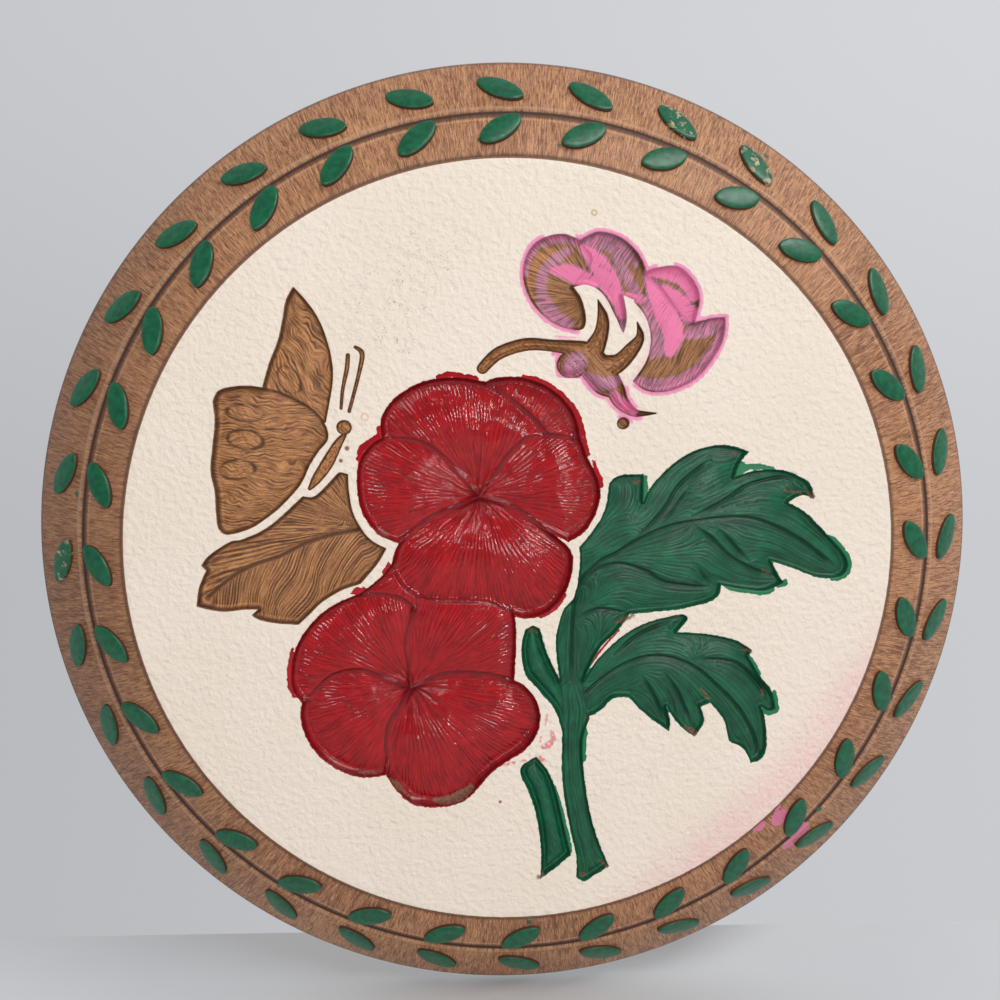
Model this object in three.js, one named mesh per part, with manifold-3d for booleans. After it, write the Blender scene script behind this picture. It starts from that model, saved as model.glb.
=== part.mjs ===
// A round decorative wall plaque carved from one board: a flat field with flowers,
// leaves and a butterfly in sunk relief, inside a sloping rim with a leaf garland.
// The carving is worked out in the plane of the face (x right, y up, z out of the
// face) and the finished solid is then stood upright: the face looks along -Y, +Z is up
// and the origin is the middle of the flat back.
import * as THREE from 'three';
import { mergeVertices } from 'three/addons/utils/BufferGeometryUtils.js';
import Module from 'manifold-3d';

// ---- driving dimensions, millimetres ----
const DIAMETER = 300;          // whole plaque
const THICKNESS = 25;          // flat back to the field
const FIELD_RADIUS = 117.5;    // flat middle
const FIELD_LIP = 0.8;         // the field stands proud of the rim by this much
const EDGE_THICKNESS = 4;      // at the outer edge
const EDGE_CHAMFER = 1.2;      // on the back of the outer edge
const RIM_START_SLOPE = 0.3;   // fall of the rim for each mm, next to the field
const ROUND_SIDES = 64;        // facets round the plaque

const VEIN_RADIUS = 132.5;     // stem that runs round the rim
const VEIN_HALF_WIDTH = 1;
const VEIN_HEIGHT = 0.6;
const GARLAND_PAIRS = 32;      // pairs of leaves round the rim
const LEAF_LENGTH = 14.4;
const LEAF_WIDTH = 6.2;
const LEAF_HEIGHT = 1.4;
const LEAF_SHOULDER = 0.9;     // height of the leaf's side wall
const LEAF_POINT = 1.35;       // over 1 draws the leaf's ends out to points
const LEAF_STATIONS = 4;       // steps along each side of a leaf
const OUTER_LEAF = { radius: 139.2, angle: 91.3, tilt: 30 };   // degrees
const INNER_LEAF = { radius: 125.8, angle: 91.5, tilt: -36 };

const WALL = 1.8;              // width of the sloping wall inside each outline
const DEPTH = 2.2;             // bottom of that wall, below the field
const CUSHION = 0.9;           // top of each form's cushion, below the field
const SHOULDER = 2.2;          // from the foot of the wall to the top of the cushion
const THIN_DEPTH = 1.1;        // feelers and other thin grooves
const STEP = 5.5;              // spacing of the facets along an outline
const GROOVE = 1;              // most that a groove's sides lean in
const CLEAR = 1.5;             // how far cutters reach out of the face
const SIDE_SHARE = 0.4;        // share of the way across a form that one side may lean in
const MITRE_LIMIT = 2;         // most that a sharp corner lengthens the way in
const MERGE_DISTANCE = 1e-4;   // corners nearer than this are one corner

const WOOD = new THREE.MeshStandardMaterial({ color: 0x93684c, roughness: 0.6, metalness: 0 });

// ---- outlines: runs of control points, with a corner where one run meets the next ----
const BUTTERFLY_AND_LEAF = {
  upperWing: [
    [[-64.2, 80], [-60, 75.3], [-57, 70.7], [-54.9, 65.3], [-53.4, 59], [-53.2, 52], [-55.5, 40]],
    [[-55.5, 40], [-66, 42], [-74, 50.7]],
    [[-74, 50.7], [-71.9, 57.5], [-69, 64.5], [-67.6, 70.5], [-66.4, 76], [-64.2, 80]],
  ],
  lowerWing: [
    [[-88.7, 46.5], [-87.2, 49.4], [-84, 50.6], [-79, 51.1], [-74, 50.6], [-69.3, 49.5], [-64.2, 47.3],
      [-60, 44.7], [-56.6, 41.2], [-54.9, 37.5], [-55.2, 34.6], [-57.5, 31.9]],
    [[-57.5, 31.9], [-60.4, 27.5], [-63.3, 21.7], [-68.4, 15.9], [-73.5, 11.6], [-79, 8.2], [-85.6, 6.5],
      [-88.2, 8.4], [-88.8, 13], [-89, 19.5], [-90, 26], [-89.1, 34], [-88.3, 40.5], [-88.7, 46.5]],
  ],
  brownLeaf: [
    [[-49.1, 24.7], [-49, 20], [-47.8, 13], [-45, 7.5], [-42, 4.3], [-37.9, 2.1]],
    [[-37.9, 2.1], [-41, -3], [-46, -8.8]],
    [[-46, -8.8], [-52, -10.9], [-57.7, -14.4], [-61.2, -17.8], [-64.9, -21.3]],
    [[-64.9, -21.3], [-71.2, -20.9], [-76.5, -19.8], [-79.1, -18.3]],
    [[-79.1, -18.3], [-77.2, -16.5]],
    [[-77.2, -16.5], [-81.4, -16.5], [-88, -17.1], [-95.6, -15.5]],
    [[-95.6, -15.5], [-94.6, -9.5], [-92.3, -4.4]],
    [[-92.3, -4.4], [-93.8, -2.9]],
    [[-93.8, -2.9], [-91.2, 0.3], [-85, 4.3], [-80.9, 5.2], [-73, 9.1], [-62.8, 18.1]],
    [[-62.8, 18.1], [-59.5, 18], [-56, 21], [-53, 24.3]],
    [[-53, 24.3], [-51.6, 25.3], [-49.1, 24.7]],
  ],
};
const UPPER_PANSY = {
  backPetal: [
    [[-8, 52.2], [-5.2, 53.3], [-0.5, 53.7], [4.5, 53.3], [10.7, 50.9], [16, 46.7], [19.4, 41.3],
      [20.9, 34.5]],
    [[20.9, 34.5], [5, 30], [-8, 52.2]],
  ],
  topPetal: [
    [[-39.1, 35.6], [-39.3, 40], [-37.7, 44.2], [-34, 48.2], [-28, 51.7], [-22, 53.3], [-15, 53.5],
      [-7.6, 52.2]],
    [[-7.6, 52.2], [-2, 49.4], [4, 44.8], [9, 40], [13, 35]],
    [[13, 35], [-9.8, 17.8]],
    [[-9.8, 17.8], [-39.1, 35.6]],
  ],
  leftPetal: [
    [[-9.8, 17.8], [-12.1, 21.4], [-17.7, 28], [-22.8, 32.6], [-28, 35.3], [-34, 36.1], [-39.1, 35.6],
      [-43.3, 32.6], [-46, 28], [-46.6, 21], [-45.4, 13.7], [-42, 8], [-38.5, 5.3], [-34.2, 3.6]],
    [[-34.2, 3.6], [-9.8, 17.8]],
  ],
  rightPetal: [
    [[-9.8, 17.8], [-7, 23], [-3, 29], [0.6, 33.3], [4, 35.8], [8, 36.8], [14, 36.9], [20.4, 35.1],
      [23, 29.3], [26, 23.5], [26.9, 18], [25.4, 12], [22, 6.7], [17.3, 3.7]],
    [[17.3, 3.7], [-9.8, 17.8]],
  ],
  lipPetal: [
    [[-9.8, 17.8], [-3, 16.6], [3.2, 14], [8.5, 10.3], [13, 6.1], [17.6, 1.8], [18.8, -3], [17.5, -9.5],
      [14.6, -14.8], [10.5, -18.4], [4.5, -20], [-1.5, -18], [-8, -15.9], [-20, -15.5], [-28, -14],
      [-33, -11], [-36, -6.5], [-36.7, -3]],
    [[-36.7, -3], [-34.2, 3.8], [-29.3, 9.3], [-23, 13.2], [-16, 15.8], [-9.8, 17.8]],
  ],
};
const LOWER_PANSY = {
  scrapPetal: [
    [[-36, -2], [-40, -6.9], [-46.5, -12]],
    [[-46.5, -12], [-32, -17], [-27, -12], [-36, -2]],
  ],
  topPetal: [
    [[-29.6, -16], [-35, -12.5], [-44.7, -11.7], [-50, -13.2], [-55.8, -16.2], [-60.5, -20.3],
      [-64.5, -25.5], [-67, -31.5], [-67.8, -38], [-67, -42.7], [-64.4, -46]],
    [[-64.4, -46], [-31, -41.5]],
    [[-31, -41.5], [-29.6, -16]],
  ],
  rightPetal: [
    [[-31, -41.5], [-33.4, -30], [-32.6, -23.5], [-29.6, -16]],
    [[-29.6, -16], [-15, -12], [0.4, -15]],
    [[0.4, -15], [1.4, -23], [1.3, -31], [0.7, -40]],
    [[0.7, -40], [-31, -41.5]],
  ],
  leftPetal: [
    [[-31, -41.5], [-36, -39.8], [-41.5, -36.9], [-47, -35.3], [-53, -36], [-58, -38.8], [-64.4, -45.8]],
    [[-64.4, -45.8], [-65.1, -50], [-63.9, -56], [-60.4, -62.1], [-55, -66.8], [-49, -69.5],
      [-44, -70.1], [-39.1, -69.4]],
    [[-39.1, -69.4], [-31, -41.5]],
  ],
  lipPetal: [
    [[-31, -41.5], [-28.3, -40.2], [-23, -37.4], [-16, -36.5], [-8, -37], [0.7, -39.3], [5, -42.1],
      [8, -46.4], [9, -51.5], [7.8, -57], [4, -62], [-4, -67.3], [-8.5, -71.7], [-13, -76.8],
      [-18, -79.4], [-24.7, -80.1], [-31, -78.9], [-35.5, -74.8], [-39.1, -69.4]],
    [[-39.1, -69.4], [-39.9, -60], [-38.7, -53], [-35, -47.3], [-31, -41.5]],
  ],
};
const PINK_PANSY = {
  hookPetal: [
    [[20, 93.7], [14.8, 95.4], [8.8, 94], [5, 90.5], [3.2, 84.5], [4.6, 78], [8.3, 72.6], [14, 68.7],
      [20.4, 67.5], [22, 70.5], [20.7, 76.3], [18.3, 80]],
    [[18.3, 80], [24, 88], [20, 93.7]],
  ],
  topPetal: [
    [[20, 93.7], [25.5, 96], [32, 94.4], [37, 90.2], [39.8, 84.9]],
    [[39.8, 84.9], [40.4, 80.5], [39, 75.3]],
    [[39, 75.3], [36, 76.5], [33, 77.7]],
    [[33, 77.7], [34.1, 71.2], [33.2, 66.2]],
    [[33.2, 66.2], [30.7, 71.6], [27, 78], [22.3, 80.7], [18.3, 80]],
    [[18.3, 80], [15, 88], [20, 93.7]],
  ],
  sidePetal: [
    [[38.4, 84.2], [44.1, 86], [49.2, 86], [53.6, 82.3], [55.8, 76.8], [54.3, 69.3]],
    [[54.3, 69.3], [44, 74], [38.4, 84.2]],
  ],
  skirtPetal: [
    [[39, 84.4], [44.1, 80.9], [50.6, 72.6], [54.3, 69.7]],
    [[54.3, 69.7], [59, 70.9], [63.6, 71.4]],
    [[63.6, 71.4], [63.4, 66], [60.8, 60], [55.3, 53.3], [48, 49.7], [41, 49.4], [36.2, 52.3]],
    [[36.2, 52.3], [40.2, 58.5], [41.4, 65], [39.8, 71.3], [36.2, 75.8]],
    [[36.2, 75.8], [39, 84.4]],
  ],
};
const GREENERY = {
  largeLeaf: [
    [[29.5, 21.7], [32.5, 24], [40, 24.5]],
    [[40, 24.5], [40, 15.9]],
    [[40, 15.9], [42.2, 20.5], [47.8, 26.6], [54.3, 31], [61.8, 33.2], [68, 32.6], [71.9, 31.2]],
    [[71.9, 31.2], [69.2, 27.5], [67.8, 23.5]],
    [[67.8, 23.5], [73.9, 25.4], [82.2, 25.6], [88.7, 23.1], [91.5, 20.5], [92.3, 16.8]],
    [[92.3, 16.8], [88.5, 17.8], [84.6, 15.6]],
    [[84.6, 15.6], [90.1, 12.4], [95.3, 7.3], [102.2, 0], [103.8, -4.6], [101, -7.7], [94, -7.5],
      [86.9, -4.8], [80, -2.5]],
    [[80, -2.5], [82.2, -6.9], [84.1, -9.3]],
    [[84.1, -9.3], [78, -11.8], [70, -11.1], [64.5, -10]],
    [[64.5, -10], [63.6, -13.3], [59.9, -15.5], [51.5, -17.4], [44, -18.1], [36.4, -18.8]],
    [[36.4, -18.8], [32.5, -24.1], [27, -30], [22.3, -39.9]],
    [[22.3, -39.9], [16.4, -42]],
    [[16.4, -42], [14.1, -33], [13.6, -25.5], [15.8, -17.6], [19.3, -12.9], [20.8, -4], [20.7, 2.1]],
    [[20.7, 2.1], [26, 9], [28.7, 15.2], [29.5, 21.7]],
  ],
  smallLeaf: [
    [[16.5, -46], [22.3, -39.9]],
    [[22.3, -39.9], [27, -32.6], [34.8, -25.3], [43, -21.1], [52.5, -18.9]],
    [[52.5, -18.9], [54.4, -20.3], [51.1, -24.6]],
    [[51.1, -24.6], [60, -25.2], [69.2, -27.2], [74.6, -30.4]],
    [[74.6, -30.4], [73.6, -32.4]],
    [[73.6, -32.4], [77.5, -38.8], [81.3, -43.7], [82.8, -49.4]],
    [[82.8, -49.4], [80.8, -50.3], [78.4, -49]],
    [[78.4, -49], [79.7, -54], [80.2, -62], [78.5, -65.7], [75.5, -66.9]],
    [[75.5, -66.9], [72.7, -62], [68.4, -59.4], [66.6, -53], [62, -47.1]],
    [[62, -47.1], [59.1, -48.4]],
    [[59.1, -48.4], [60.2, -53.5], [57.3, -58]],
    [[57.3, -58], [53.7, -55.5], [50.4, -51.7], [48.5, -48.5]],
    [[48.5, -48.5], [49.6, -53], [49.3, -56.2]],
    [[49.3, -56.2], [45, -53.2], [40.3, -49.3], [36.4, -45.1]],
    [[36.4, -45.1], [31.6, -45.5], [27.9, -49.2], [24.3, -51.2]],
    [[24.3, -51.2], [16.5, -46]],
  ],
  bud: [
    [[4.2, -23.6], [6.5, -22.2], [8.7, -23.2]],
    [[8.7, -23.2], [11.3, -31.6], [16.4, -42.2]],
    [[16.4, -42.2], [18, -52], [15.8, -56]],
    [[15.8, -56], [13.5, -49], [8.3, -42.5], [4.2, -37.2], [3, -29.5], [4.2, -23.6]],
  ],
  mainStem: [
    [[15, -44], [23, -42]],
    [[23, -42], [24.4, -51], [22.3, -59], [22.8, -70], [24.5, -81], [27.2, -91], [30.9, -100.2]],
    [[30.9, -100.2], [27, -103], [23, -105.2], [20.6, -103.6]],
    [[20.6, -103.6], [20.6, -97], [18.2, -86], [16, -72], [15.8, -56], [15, -44]],
  ],
  stubStem: [
    [[7.6, -64], [11.6, -69], [14.4, -77], [16.2, -85], [18.9, -96.4]],
    [[18.9, -96.4], [13.5, -101], [9.2, -104.2]],
    [[9.2, -104.2], [9.4, -95], [8, -84], [5.5, -75.5], [3.1, -70.5], [3.3, -67], [7.6, -64]],
  ],
};

// Which forms lie in front of which, inside each group
const IN_FRONT = {
  upperWing: ['lowerWing'],
  'upper backPetal': ['upper topPetal', 'upper rightPetal'],
  'upper topPetal': ['upper leftPetal', 'upper rightPetal', 'upper lipPetal'],
  'upper leftPetal': ['upper lipPetal'],
  'upper rightPetal': ['upper lipPetal'],
  'lower scrapPetal': ['upper lipPetal', 'lower topPetal'],
  'lower topPetal': ['lower rightPetal', 'lower leftPetal'],
  'lower rightPetal': ['upper lipPetal', 'lower lipPetal'],
  'lower leftPetal': ['lower lipPetal'],
  topPetal: ['hookPetal'],
  sidePetal: ['skirtPetal', 'topPetal'],
  skirtPetal: ['topPetal'],
  smallLeaf: ['mainStem', 'largeLeaf'],
  bud: ['mainStem'],
  largeLeaf: ['mainStem'],
};

// Strokes: a line of points, each with the width there: [x, y, width]
const CALYX = [
  [[-8.8, 56.2, 3.4], [-4, 60.6, 3.8], [4, 63.2, 3.8], [12, 62.9, 3.6], [18, 62, 5], [22, 60, 8],
    [25, 57, 9]],
  [[23.5, 60, 7], [26.4, 66, 4.6], [27, 71, 3.4], [25.5, 76.3, 0.4]],
  [[25, 56, 9], [31.5, 57.6, 5.6], [35.8, 61.8, 4.4], [38.2, 65.5, 2.6], [37.3, 69.8, 0.4]],
  [[24, 58, 9], [27.5, 53, 9], [30.8, 50, 6], [33, 46, 4.4], [37, 43, 2.4], [43.4, 42.8, 0.5]],
  [[21, 59, 6], [18.3, 57.5, 8.6], [16.8, 57.2, 7]],
];
const BODY = [[-50.1, 36.4, 1.5], [-52.2, 33.5, 2.8], [-55.3, 28, 3.7], [-58.5, 23.4, 3], [-60.7, 20.4, 1.2]];
const FEELERS = [
  [[-48.6, 60, 1.3], [-49, 56, 1.4], [-50.3, 50, 1.1], [-50.9, 44.4, 1]],
  [[-46.4, 62.4, 1], [-44.4, 60.4, 1.5], [-45.6, 54, 1.2], [-48.5, 43.5, 1.1]],
];
const VEINS = [
  [[-48, 7.3, 1], [-58, 5, 1.2], [-70.2, -0.3, 1.2], [-82, -5, 1.2], [-92, -12.5, 0.8]],
  [[18, -40, 0.8], [19.5, -12, 1], [32.5, 0.4, 1.4], [46, 7.7, 1.6], [60, 10.5, 1.6], [74, 10.7, 1.6],
    [86, 5.3, 1.6], [99.5, -4.3, 1]],
  [[54, 9.3, 1], [60.8, 5.2, 1.6], [67.3, -0.9, 1.6], [81, -7.6, 1]],
  [[54, 10.6, 0.8], [64.6, 15.9, 1.2], [76, 22.3, 1.4], [87, 22, 0.8]],
  [[39.6, 6.5, 0.8], [48, 15.5, 1.2], [54.3, 24.7, 1.2], [61.5, 29, 0.8]],
  [[21.5, -9.5, 0.8], [29.7, -3.4, 1.4], [38, -4, 1.6], [48.3, -9.3, 1.6], [61, -10.8, 0.8]],
  [[19.8, -21, 0.8], [27, -17.4, 1.3], [35, -18.4, 0.8]],
  [[22, -45, 0.8], [29.7, -38.5, 1.4], [41, -32.9, 1.6], [53, -34, 1.6], [62.2, -40.1, 1.6],
    [71.5, -49.7, 1.6], [78.3, -64, 0.9]],
];
const ROUNDELS = [[-50.1, 38.7, 2.2], [33.5, 39.8, 1.8]];      // head and seed: x, y, radius
const EYES = [[-9.8, 17.8, 1.4], [-31, -41.5, 1.4]];           // where the petals of a pansy meet
const ROUNDEL_SIDES = 12;

// ---- outlines and cutters ----
const wasm = await Module();
wasm.setup();
const { Manifold, Mesh } = wasm;

// A geometry of merged triangles as a solid for cutting and joining
function solid(geometry) {
  const bare = geometry.clone();
  bare.deleteAttribute('normal');
  bare.deleteAttribute('uv');
  const merged = mergeVertices(bare, MERGE_DISTANCE);
  return new Manifold(new Mesh({
    numProp: 3,
    vertProperties: new Float32Array(merged.attributes.position.array),
    triVerts: new Uint32Array(merged.index.array),
  }));
}

// One closed ring of points along an outline's runs, anticlockwise
function ring(runs) {
  const points = runs.flatMap((run) => {
    const curve = new THREE.SplineCurve(run.map(([x, y]) => new THREE.Vector2(x, y)));
    const steps = Math.max(1, Math.round(curve.getLength() / STEP));
    return curve.getSpacedPoints(steps).slice(0, -1);
  });
  return THREE.ShapeUtils.area(points) < 0 ? points.reverse() : points;
}

// A closed ring round a stroke of changing width
function strokeRing(stroke) {
  const curve = new THREE.SplineCurve(stroke.map(([x, y]) => new THREE.Vector2(x, y)));
  const last = stroke.length - 1;
  const steps = Math.max(last, Math.round(curve.getLength() / STEP));
  const left = [];
  const right = [];
  for (let i = 0; i <= steps; i++) {
    const along = (i / steps) * last;
    const k = Math.min(Math.floor(along), last - 1);
    const half = THREE.MathUtils.lerp(stroke[k][2], stroke[k + 1][2], along - k) / 2;
    const at = curve.getPoint(i / steps);
    const tangent = curve.getTangent(i / steps);
    const side = new THREE.Vector2(-tangent.y, tangent.x).multiplyScalar(half);
    left.push(at.clone().add(side));
    right.push(at.clone().sub(side));
  }
  const points = [...right, ...left.reverse()];
  return THREE.ShapeUtils.area(points) < 0 ? points.reverse() : points;
}

// How far a ray from a point of the ring runs before it meets the ring again
function reach(points, i, way) {
  const from = points[i];
  let nearest = Infinity;
  for (let k = 0; k < points.length; k++) {
    const next = (k + 1) % points.length;
    if (k === i || next === i) continue;
    const a = points[k].clone().sub(from);
    const edge = points[next].clone().sub(points[k]);
    const cross = way.cross(edge);
    if (Math.abs(cross) < Number.EPSILON) continue;
    const along = a.cross(edge) / cross;
    const across = a.cross(way) / cross;
    if (along > 0 && across >= 0 && across <= 1) nearest = Math.min(nearest, along);
  }
  return nearest;
}

// The ring moved inwards, and less where the form is narrow
function inset(points, distance) {
  const count = points.length;
  return points.map((point, i) => {
    const before = point.clone().sub(points[(i + count - 1) % count]).normalize();
    const after = points[(i + 1) % count].clone().sub(point).normalize();
    const way = new THREE.Vector2(-before.y - after.y, before.x + after.x).normalize();
    const spread = Math.max(1 / MITRE_LIMIT, Math.abs(way.x * -before.y + way.y * before.x));
    const travel = Math.min(distance / spread, SIDE_SHARE * reach(points, i, way));
    return point.clone().addScaledVector(way, travel);
  });
}

// A closed solid through a stack of rings with as many points each: [points, height],
// closed by a flat top or, where a peak is given, by a fan of faces to it
function loft(levels, peak) {
  const count = levels[0][0].length;
  const position = levels.flatMap(([points, z]) => points.flatMap((p) => [p.x, p.y, z]));
  const index = [];
  for (let level = 0; level + 1 < levels.length; level++) {
    for (let i = 0; i < count; i++) {
      const a = level * count + i;
      const b = level * count + ((i + 1) % count);
      index.push(a, b, a + count, b, b + count, a + count);
    }
  }
  // both ends are filled as the widest ring is, where no narrow stretch has closed up
  const areas = levels.map(([points]) => THREE.ShapeUtils.area(points));
  const widest = levels[areas.indexOf(Math.max(...areas))][0];
  const top = (levels.length - 1) * count;
  for (const [a, b, c] of THREE.ShapeUtils.triangulateShape(widest, [])) {
    index.push(c, b, a);
    if (!peak) index.push(top + a, top + b, top + c);
  }
  if (peak) {
    for (let i = 0; i < count; i++) index.push(top + i, top + ((i + 1) % count), levels.length * count);
    position.push(...peak);
  }
  const geometry = new THREE.BufferGeometry();
  geometry.setAttribute('position', new THREE.Float32BufferAttribute(position, 3));
  geometry.setIndex(index);
  return solid(geometry);
}

const column = (points, low, high) => loft([[points, low], [points, high]]);

// What is cut away for a form: a sloping wall down from its outline, and a cushion inside
function cushionCutter(points) {
  const foot = inset(points, WALL);
  const crown = inset(foot, SHOULDER);
  const walls = loft([[foot, -DEPTH], [points, 0], [points, CLEAR]]);
  const cushion = loft([[foot, -DEPTH - CLEAR], [foot, -DEPTH], [crown, -CUSHION]]);
  return walls.subtract(cushion);
}

// What is cut away for a narrow groove that starts at a height below the field
function grooveCutter(points, from) {
  return loft([[inset(points, GROOVE), from - THIN_DEPTH], [points, from], [points, CLEAR]]);
}

// ---- the turned board ----
function rimHeight(radius) {
  const out = radius - FIELD_RADIUS;
  const width = DIAMETER / 2 - FIELD_RADIUS;
  const fall = THICKNESS - EDGE_THICKNESS - FIELD_LIP;
  const curve = (fall - RIM_START_SLOPE * width) / width ** 2;
  return THICKNESS - FIELD_LIP - RIM_START_SLOPE * out - curve * out ** 2;
}

function board() {
  const outer = DIAMETER / 2;
  const at = (radius, lift = 0) => new THREE.Vector2(radius, rimHeight(radius) + lift);
  const profile = [
    new THREE.Vector2(0, 0),
    new THREE.Vector2(outer - EDGE_CHAMFER, 0),
    new THREE.Vector2(outer, EDGE_CHAMFER),
    at(outer), at(outer - 8),
    at(VEIN_RADIUS + VEIN_HALF_WIDTH), at(VEIN_RADIUS, VEIN_HEIGHT), at(VEIN_RADIUS - VEIN_HALF_WIDTH),
    at(FIELD_RADIUS + 7), at(FIELD_RADIUS),
    new THREE.Vector2(FIELD_RADIUS, THICKNESS),
    new THREE.Vector2(0, THICKNESS),
  ];
  return solid(new THREE.LatheGeometry(profile, ROUND_SIDES).rotateX(Math.PI / 2));
}

// One leaf of the garland, lying along +X: a low wall and a crowned top
function garlandLeaf() {
  const half = LEAF_LENGTH / 2;
  const points = [];
  for (let i = 0; i < 2 * LEAF_STATIONS; i++) {
    const turn = (i / LEAF_STATIONS) * Math.PI;
    const bulge = Math.sign(Math.sin(turn)) * Math.abs(Math.sin(turn)) ** LEAF_POINT;
    points.push(new THREE.Vector2(half * Math.cos(turn), (LEAF_WIDTH / 2) * bulge));
  }
  return loft([[points, -CLEAR], [points, LEAF_SHOULDER]], [0, 0, LEAF_HEIGHT]);
}

function garland() {
  const leaf = garlandLeaf();
  const leaves = [];
  for (const { radius, angle, tilt } of [OUTER_LEAF, INNER_LEAF]) {
    const slope = (rimHeight(radius + 1) - rimHeight(radius - 1)) / 2;
    for (let i = 0; i < GARLAND_PAIRS; i++) {
      const turn = THREE.MathUtils.degToRad(angle) + (i * 2 * Math.PI) / GARLAND_PAIRS;
      const place = new THREE.Matrix4().makeRotationZ(turn)
        .multiply(new THREE.Matrix4().makeTranslation(radius, 0, rimHeight(radius)))
        .multiply(new THREE.Matrix4().makeRotationY(-Math.atan(slope)))
        .multiply(new THREE.Matrix4().makeRotationZ(THREE.MathUtils.degToRad(90 - tilt)));
      leaves.push(leaf.transform(place.elements));
    }
  }
  return Manifold.union(leaves);
}

// ---- the sunk relief ----
function reliefCutters() {
  const named = { ...BUTTERFLY_AND_LEAF, ...PINK_PANSY, ...GREENERY };
  for (const [name, runs] of Object.entries(UPPER_PANSY)) named[`upper ${name}`] = runs;
  for (const [name, runs] of Object.entries(LOWER_PANSY)) named[`lower ${name}`] = runs;
  const rings = Object.fromEntries(Object.entries(named).map(([name, runs]) => [name, ring(runs)]));
  const cutters = [];
  for (const [name, points] of Object.entries(rings)) {
    let cutter = cushionCutter(points);
    for (const front of IN_FRONT[name] ?? []) {
      const shared = column(points, -CUSHION, CLEAR).intersect(column(rings[front], -CUSHION, CLEAR));
      cutter = cutter.subtract(column(rings[front], -2 * DEPTH, 2 * CLEAR)).add(shared);
    }
    cutters.push(cutter);
  }
  const calyx = Manifold.union(CALYX.map((stroke) => column(strokeRing(stroke), -DEPTH, CLEAR)));
  const ridge = Manifold.union(CALYX.map((stroke) => {
    const points = strokeRing(stroke);
    return loft([[points, -2 * DEPTH], [points, -DEPTH], [inset(points, WALL), -CUSHION]]);
  }));
  cutters.push(calyx.subtract(ridge));
  const round = ([x, y, radius]) => Array.from({ length: ROUNDEL_SIDES }, (_, i) => {
    const turn = (i / ROUNDEL_SIDES) * 2 * Math.PI;
    return new THREE.Vector2(x + radius * Math.cos(turn), y + radius * Math.sin(turn));
  });
  for (const roundel of ROUNDELS) cutters.push(grooveCutter(round(roundel), 0));
  for (const eye of EYES) cutters.push(grooveCutter(round(eye), -CUSHION));
  for (const stroke of [...FEELERS, BODY]) cutters.push(grooveCutter(strokeRing(stroke), 0));
  for (const stroke of VEINS) cutters.push(grooveCutter(strokeRing(stroke), -CUSHION));
  return Manifold.union(cutters).translate([0, 0, THICKNESS]);
}

function plaque() {
  // cutting can leave a sliver of a hollow, which is a part of its own and is left out
  const parts = board().add(garland()).subtract(reliefCutters()).decompose();
  const carved = parts.sort((a, b) => b.volume() - a.volume())[0].getMesh();
  const geometry = new THREE.BufferGeometry();
  geometry.setAttribute('position', new THREE.BufferAttribute(new Float32Array(carved.vertProperties), 3));
  geometry.setIndex(new THREE.BufferAttribute(new Uint32Array(carved.triVerts), 1));
  const mesh = new THREE.Mesh(geometry, WOOD);
  mesh.name = 'plaque';
  mesh.rotation.x = Math.PI / 2;
  return mesh;
}

const group = new THREE.Group();
group.add(plaque());
export default group;
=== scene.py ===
"""A round wall plaque: a painted field with pansies, leaves and a butterfly in sunk relief, inside a
stained rim with a garland of small green leaves. It is laid out as an add-on with one operator for each
group of pieces. Outlines are millimetres in the plane of the face, x to the right and y up."""
import math

import bpy
import numpy as np
from mathutils import Matrix, Vector
from mathutils.geometry import delaunay_2d_cdt


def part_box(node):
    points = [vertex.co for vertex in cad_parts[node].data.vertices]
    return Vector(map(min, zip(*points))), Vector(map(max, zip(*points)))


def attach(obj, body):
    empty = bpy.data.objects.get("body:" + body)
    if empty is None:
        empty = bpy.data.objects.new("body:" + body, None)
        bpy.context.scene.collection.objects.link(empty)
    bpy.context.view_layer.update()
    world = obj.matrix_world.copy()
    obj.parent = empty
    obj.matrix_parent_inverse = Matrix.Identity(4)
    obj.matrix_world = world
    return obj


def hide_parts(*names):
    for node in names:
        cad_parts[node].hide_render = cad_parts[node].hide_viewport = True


bl_info = {
    "name": "Pansy wall plaque",
    "version": (1, 0, 0),
    "blender": (4, 5, 0),
    "location": "3D View > Sidebar > Plaque",
    "description": "Builds a round painted wall plaque with flowers in sunk relief",
    "category": "Add Mesh",
}

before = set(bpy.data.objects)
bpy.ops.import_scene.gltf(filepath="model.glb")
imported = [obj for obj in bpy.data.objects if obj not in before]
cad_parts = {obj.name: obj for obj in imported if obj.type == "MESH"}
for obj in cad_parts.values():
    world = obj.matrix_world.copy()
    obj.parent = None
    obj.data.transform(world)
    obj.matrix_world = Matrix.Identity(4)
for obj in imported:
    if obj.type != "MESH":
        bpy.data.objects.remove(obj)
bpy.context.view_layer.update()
PLAQUE_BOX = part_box("plaque")
MM = 0.001
DIAMETER = (PLAQUE_BOX[1].x - PLAQUE_BOX[0].x) / MM
THICKNESS = (PLAQUE_BOX[1].y - PLAQUE_BOX[0].y) / MM

# ---- sizes, millimetres ----
FIELD_RADIUS = 117.5
FIELD_LIP = 0.8           # the field stands proud of the rim by this much
LIP_ROUND = 0.7           # rounding of the field's edge
FIELD_DEPTH = 7.0         # thickness of the blocks that the field is made of

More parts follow.
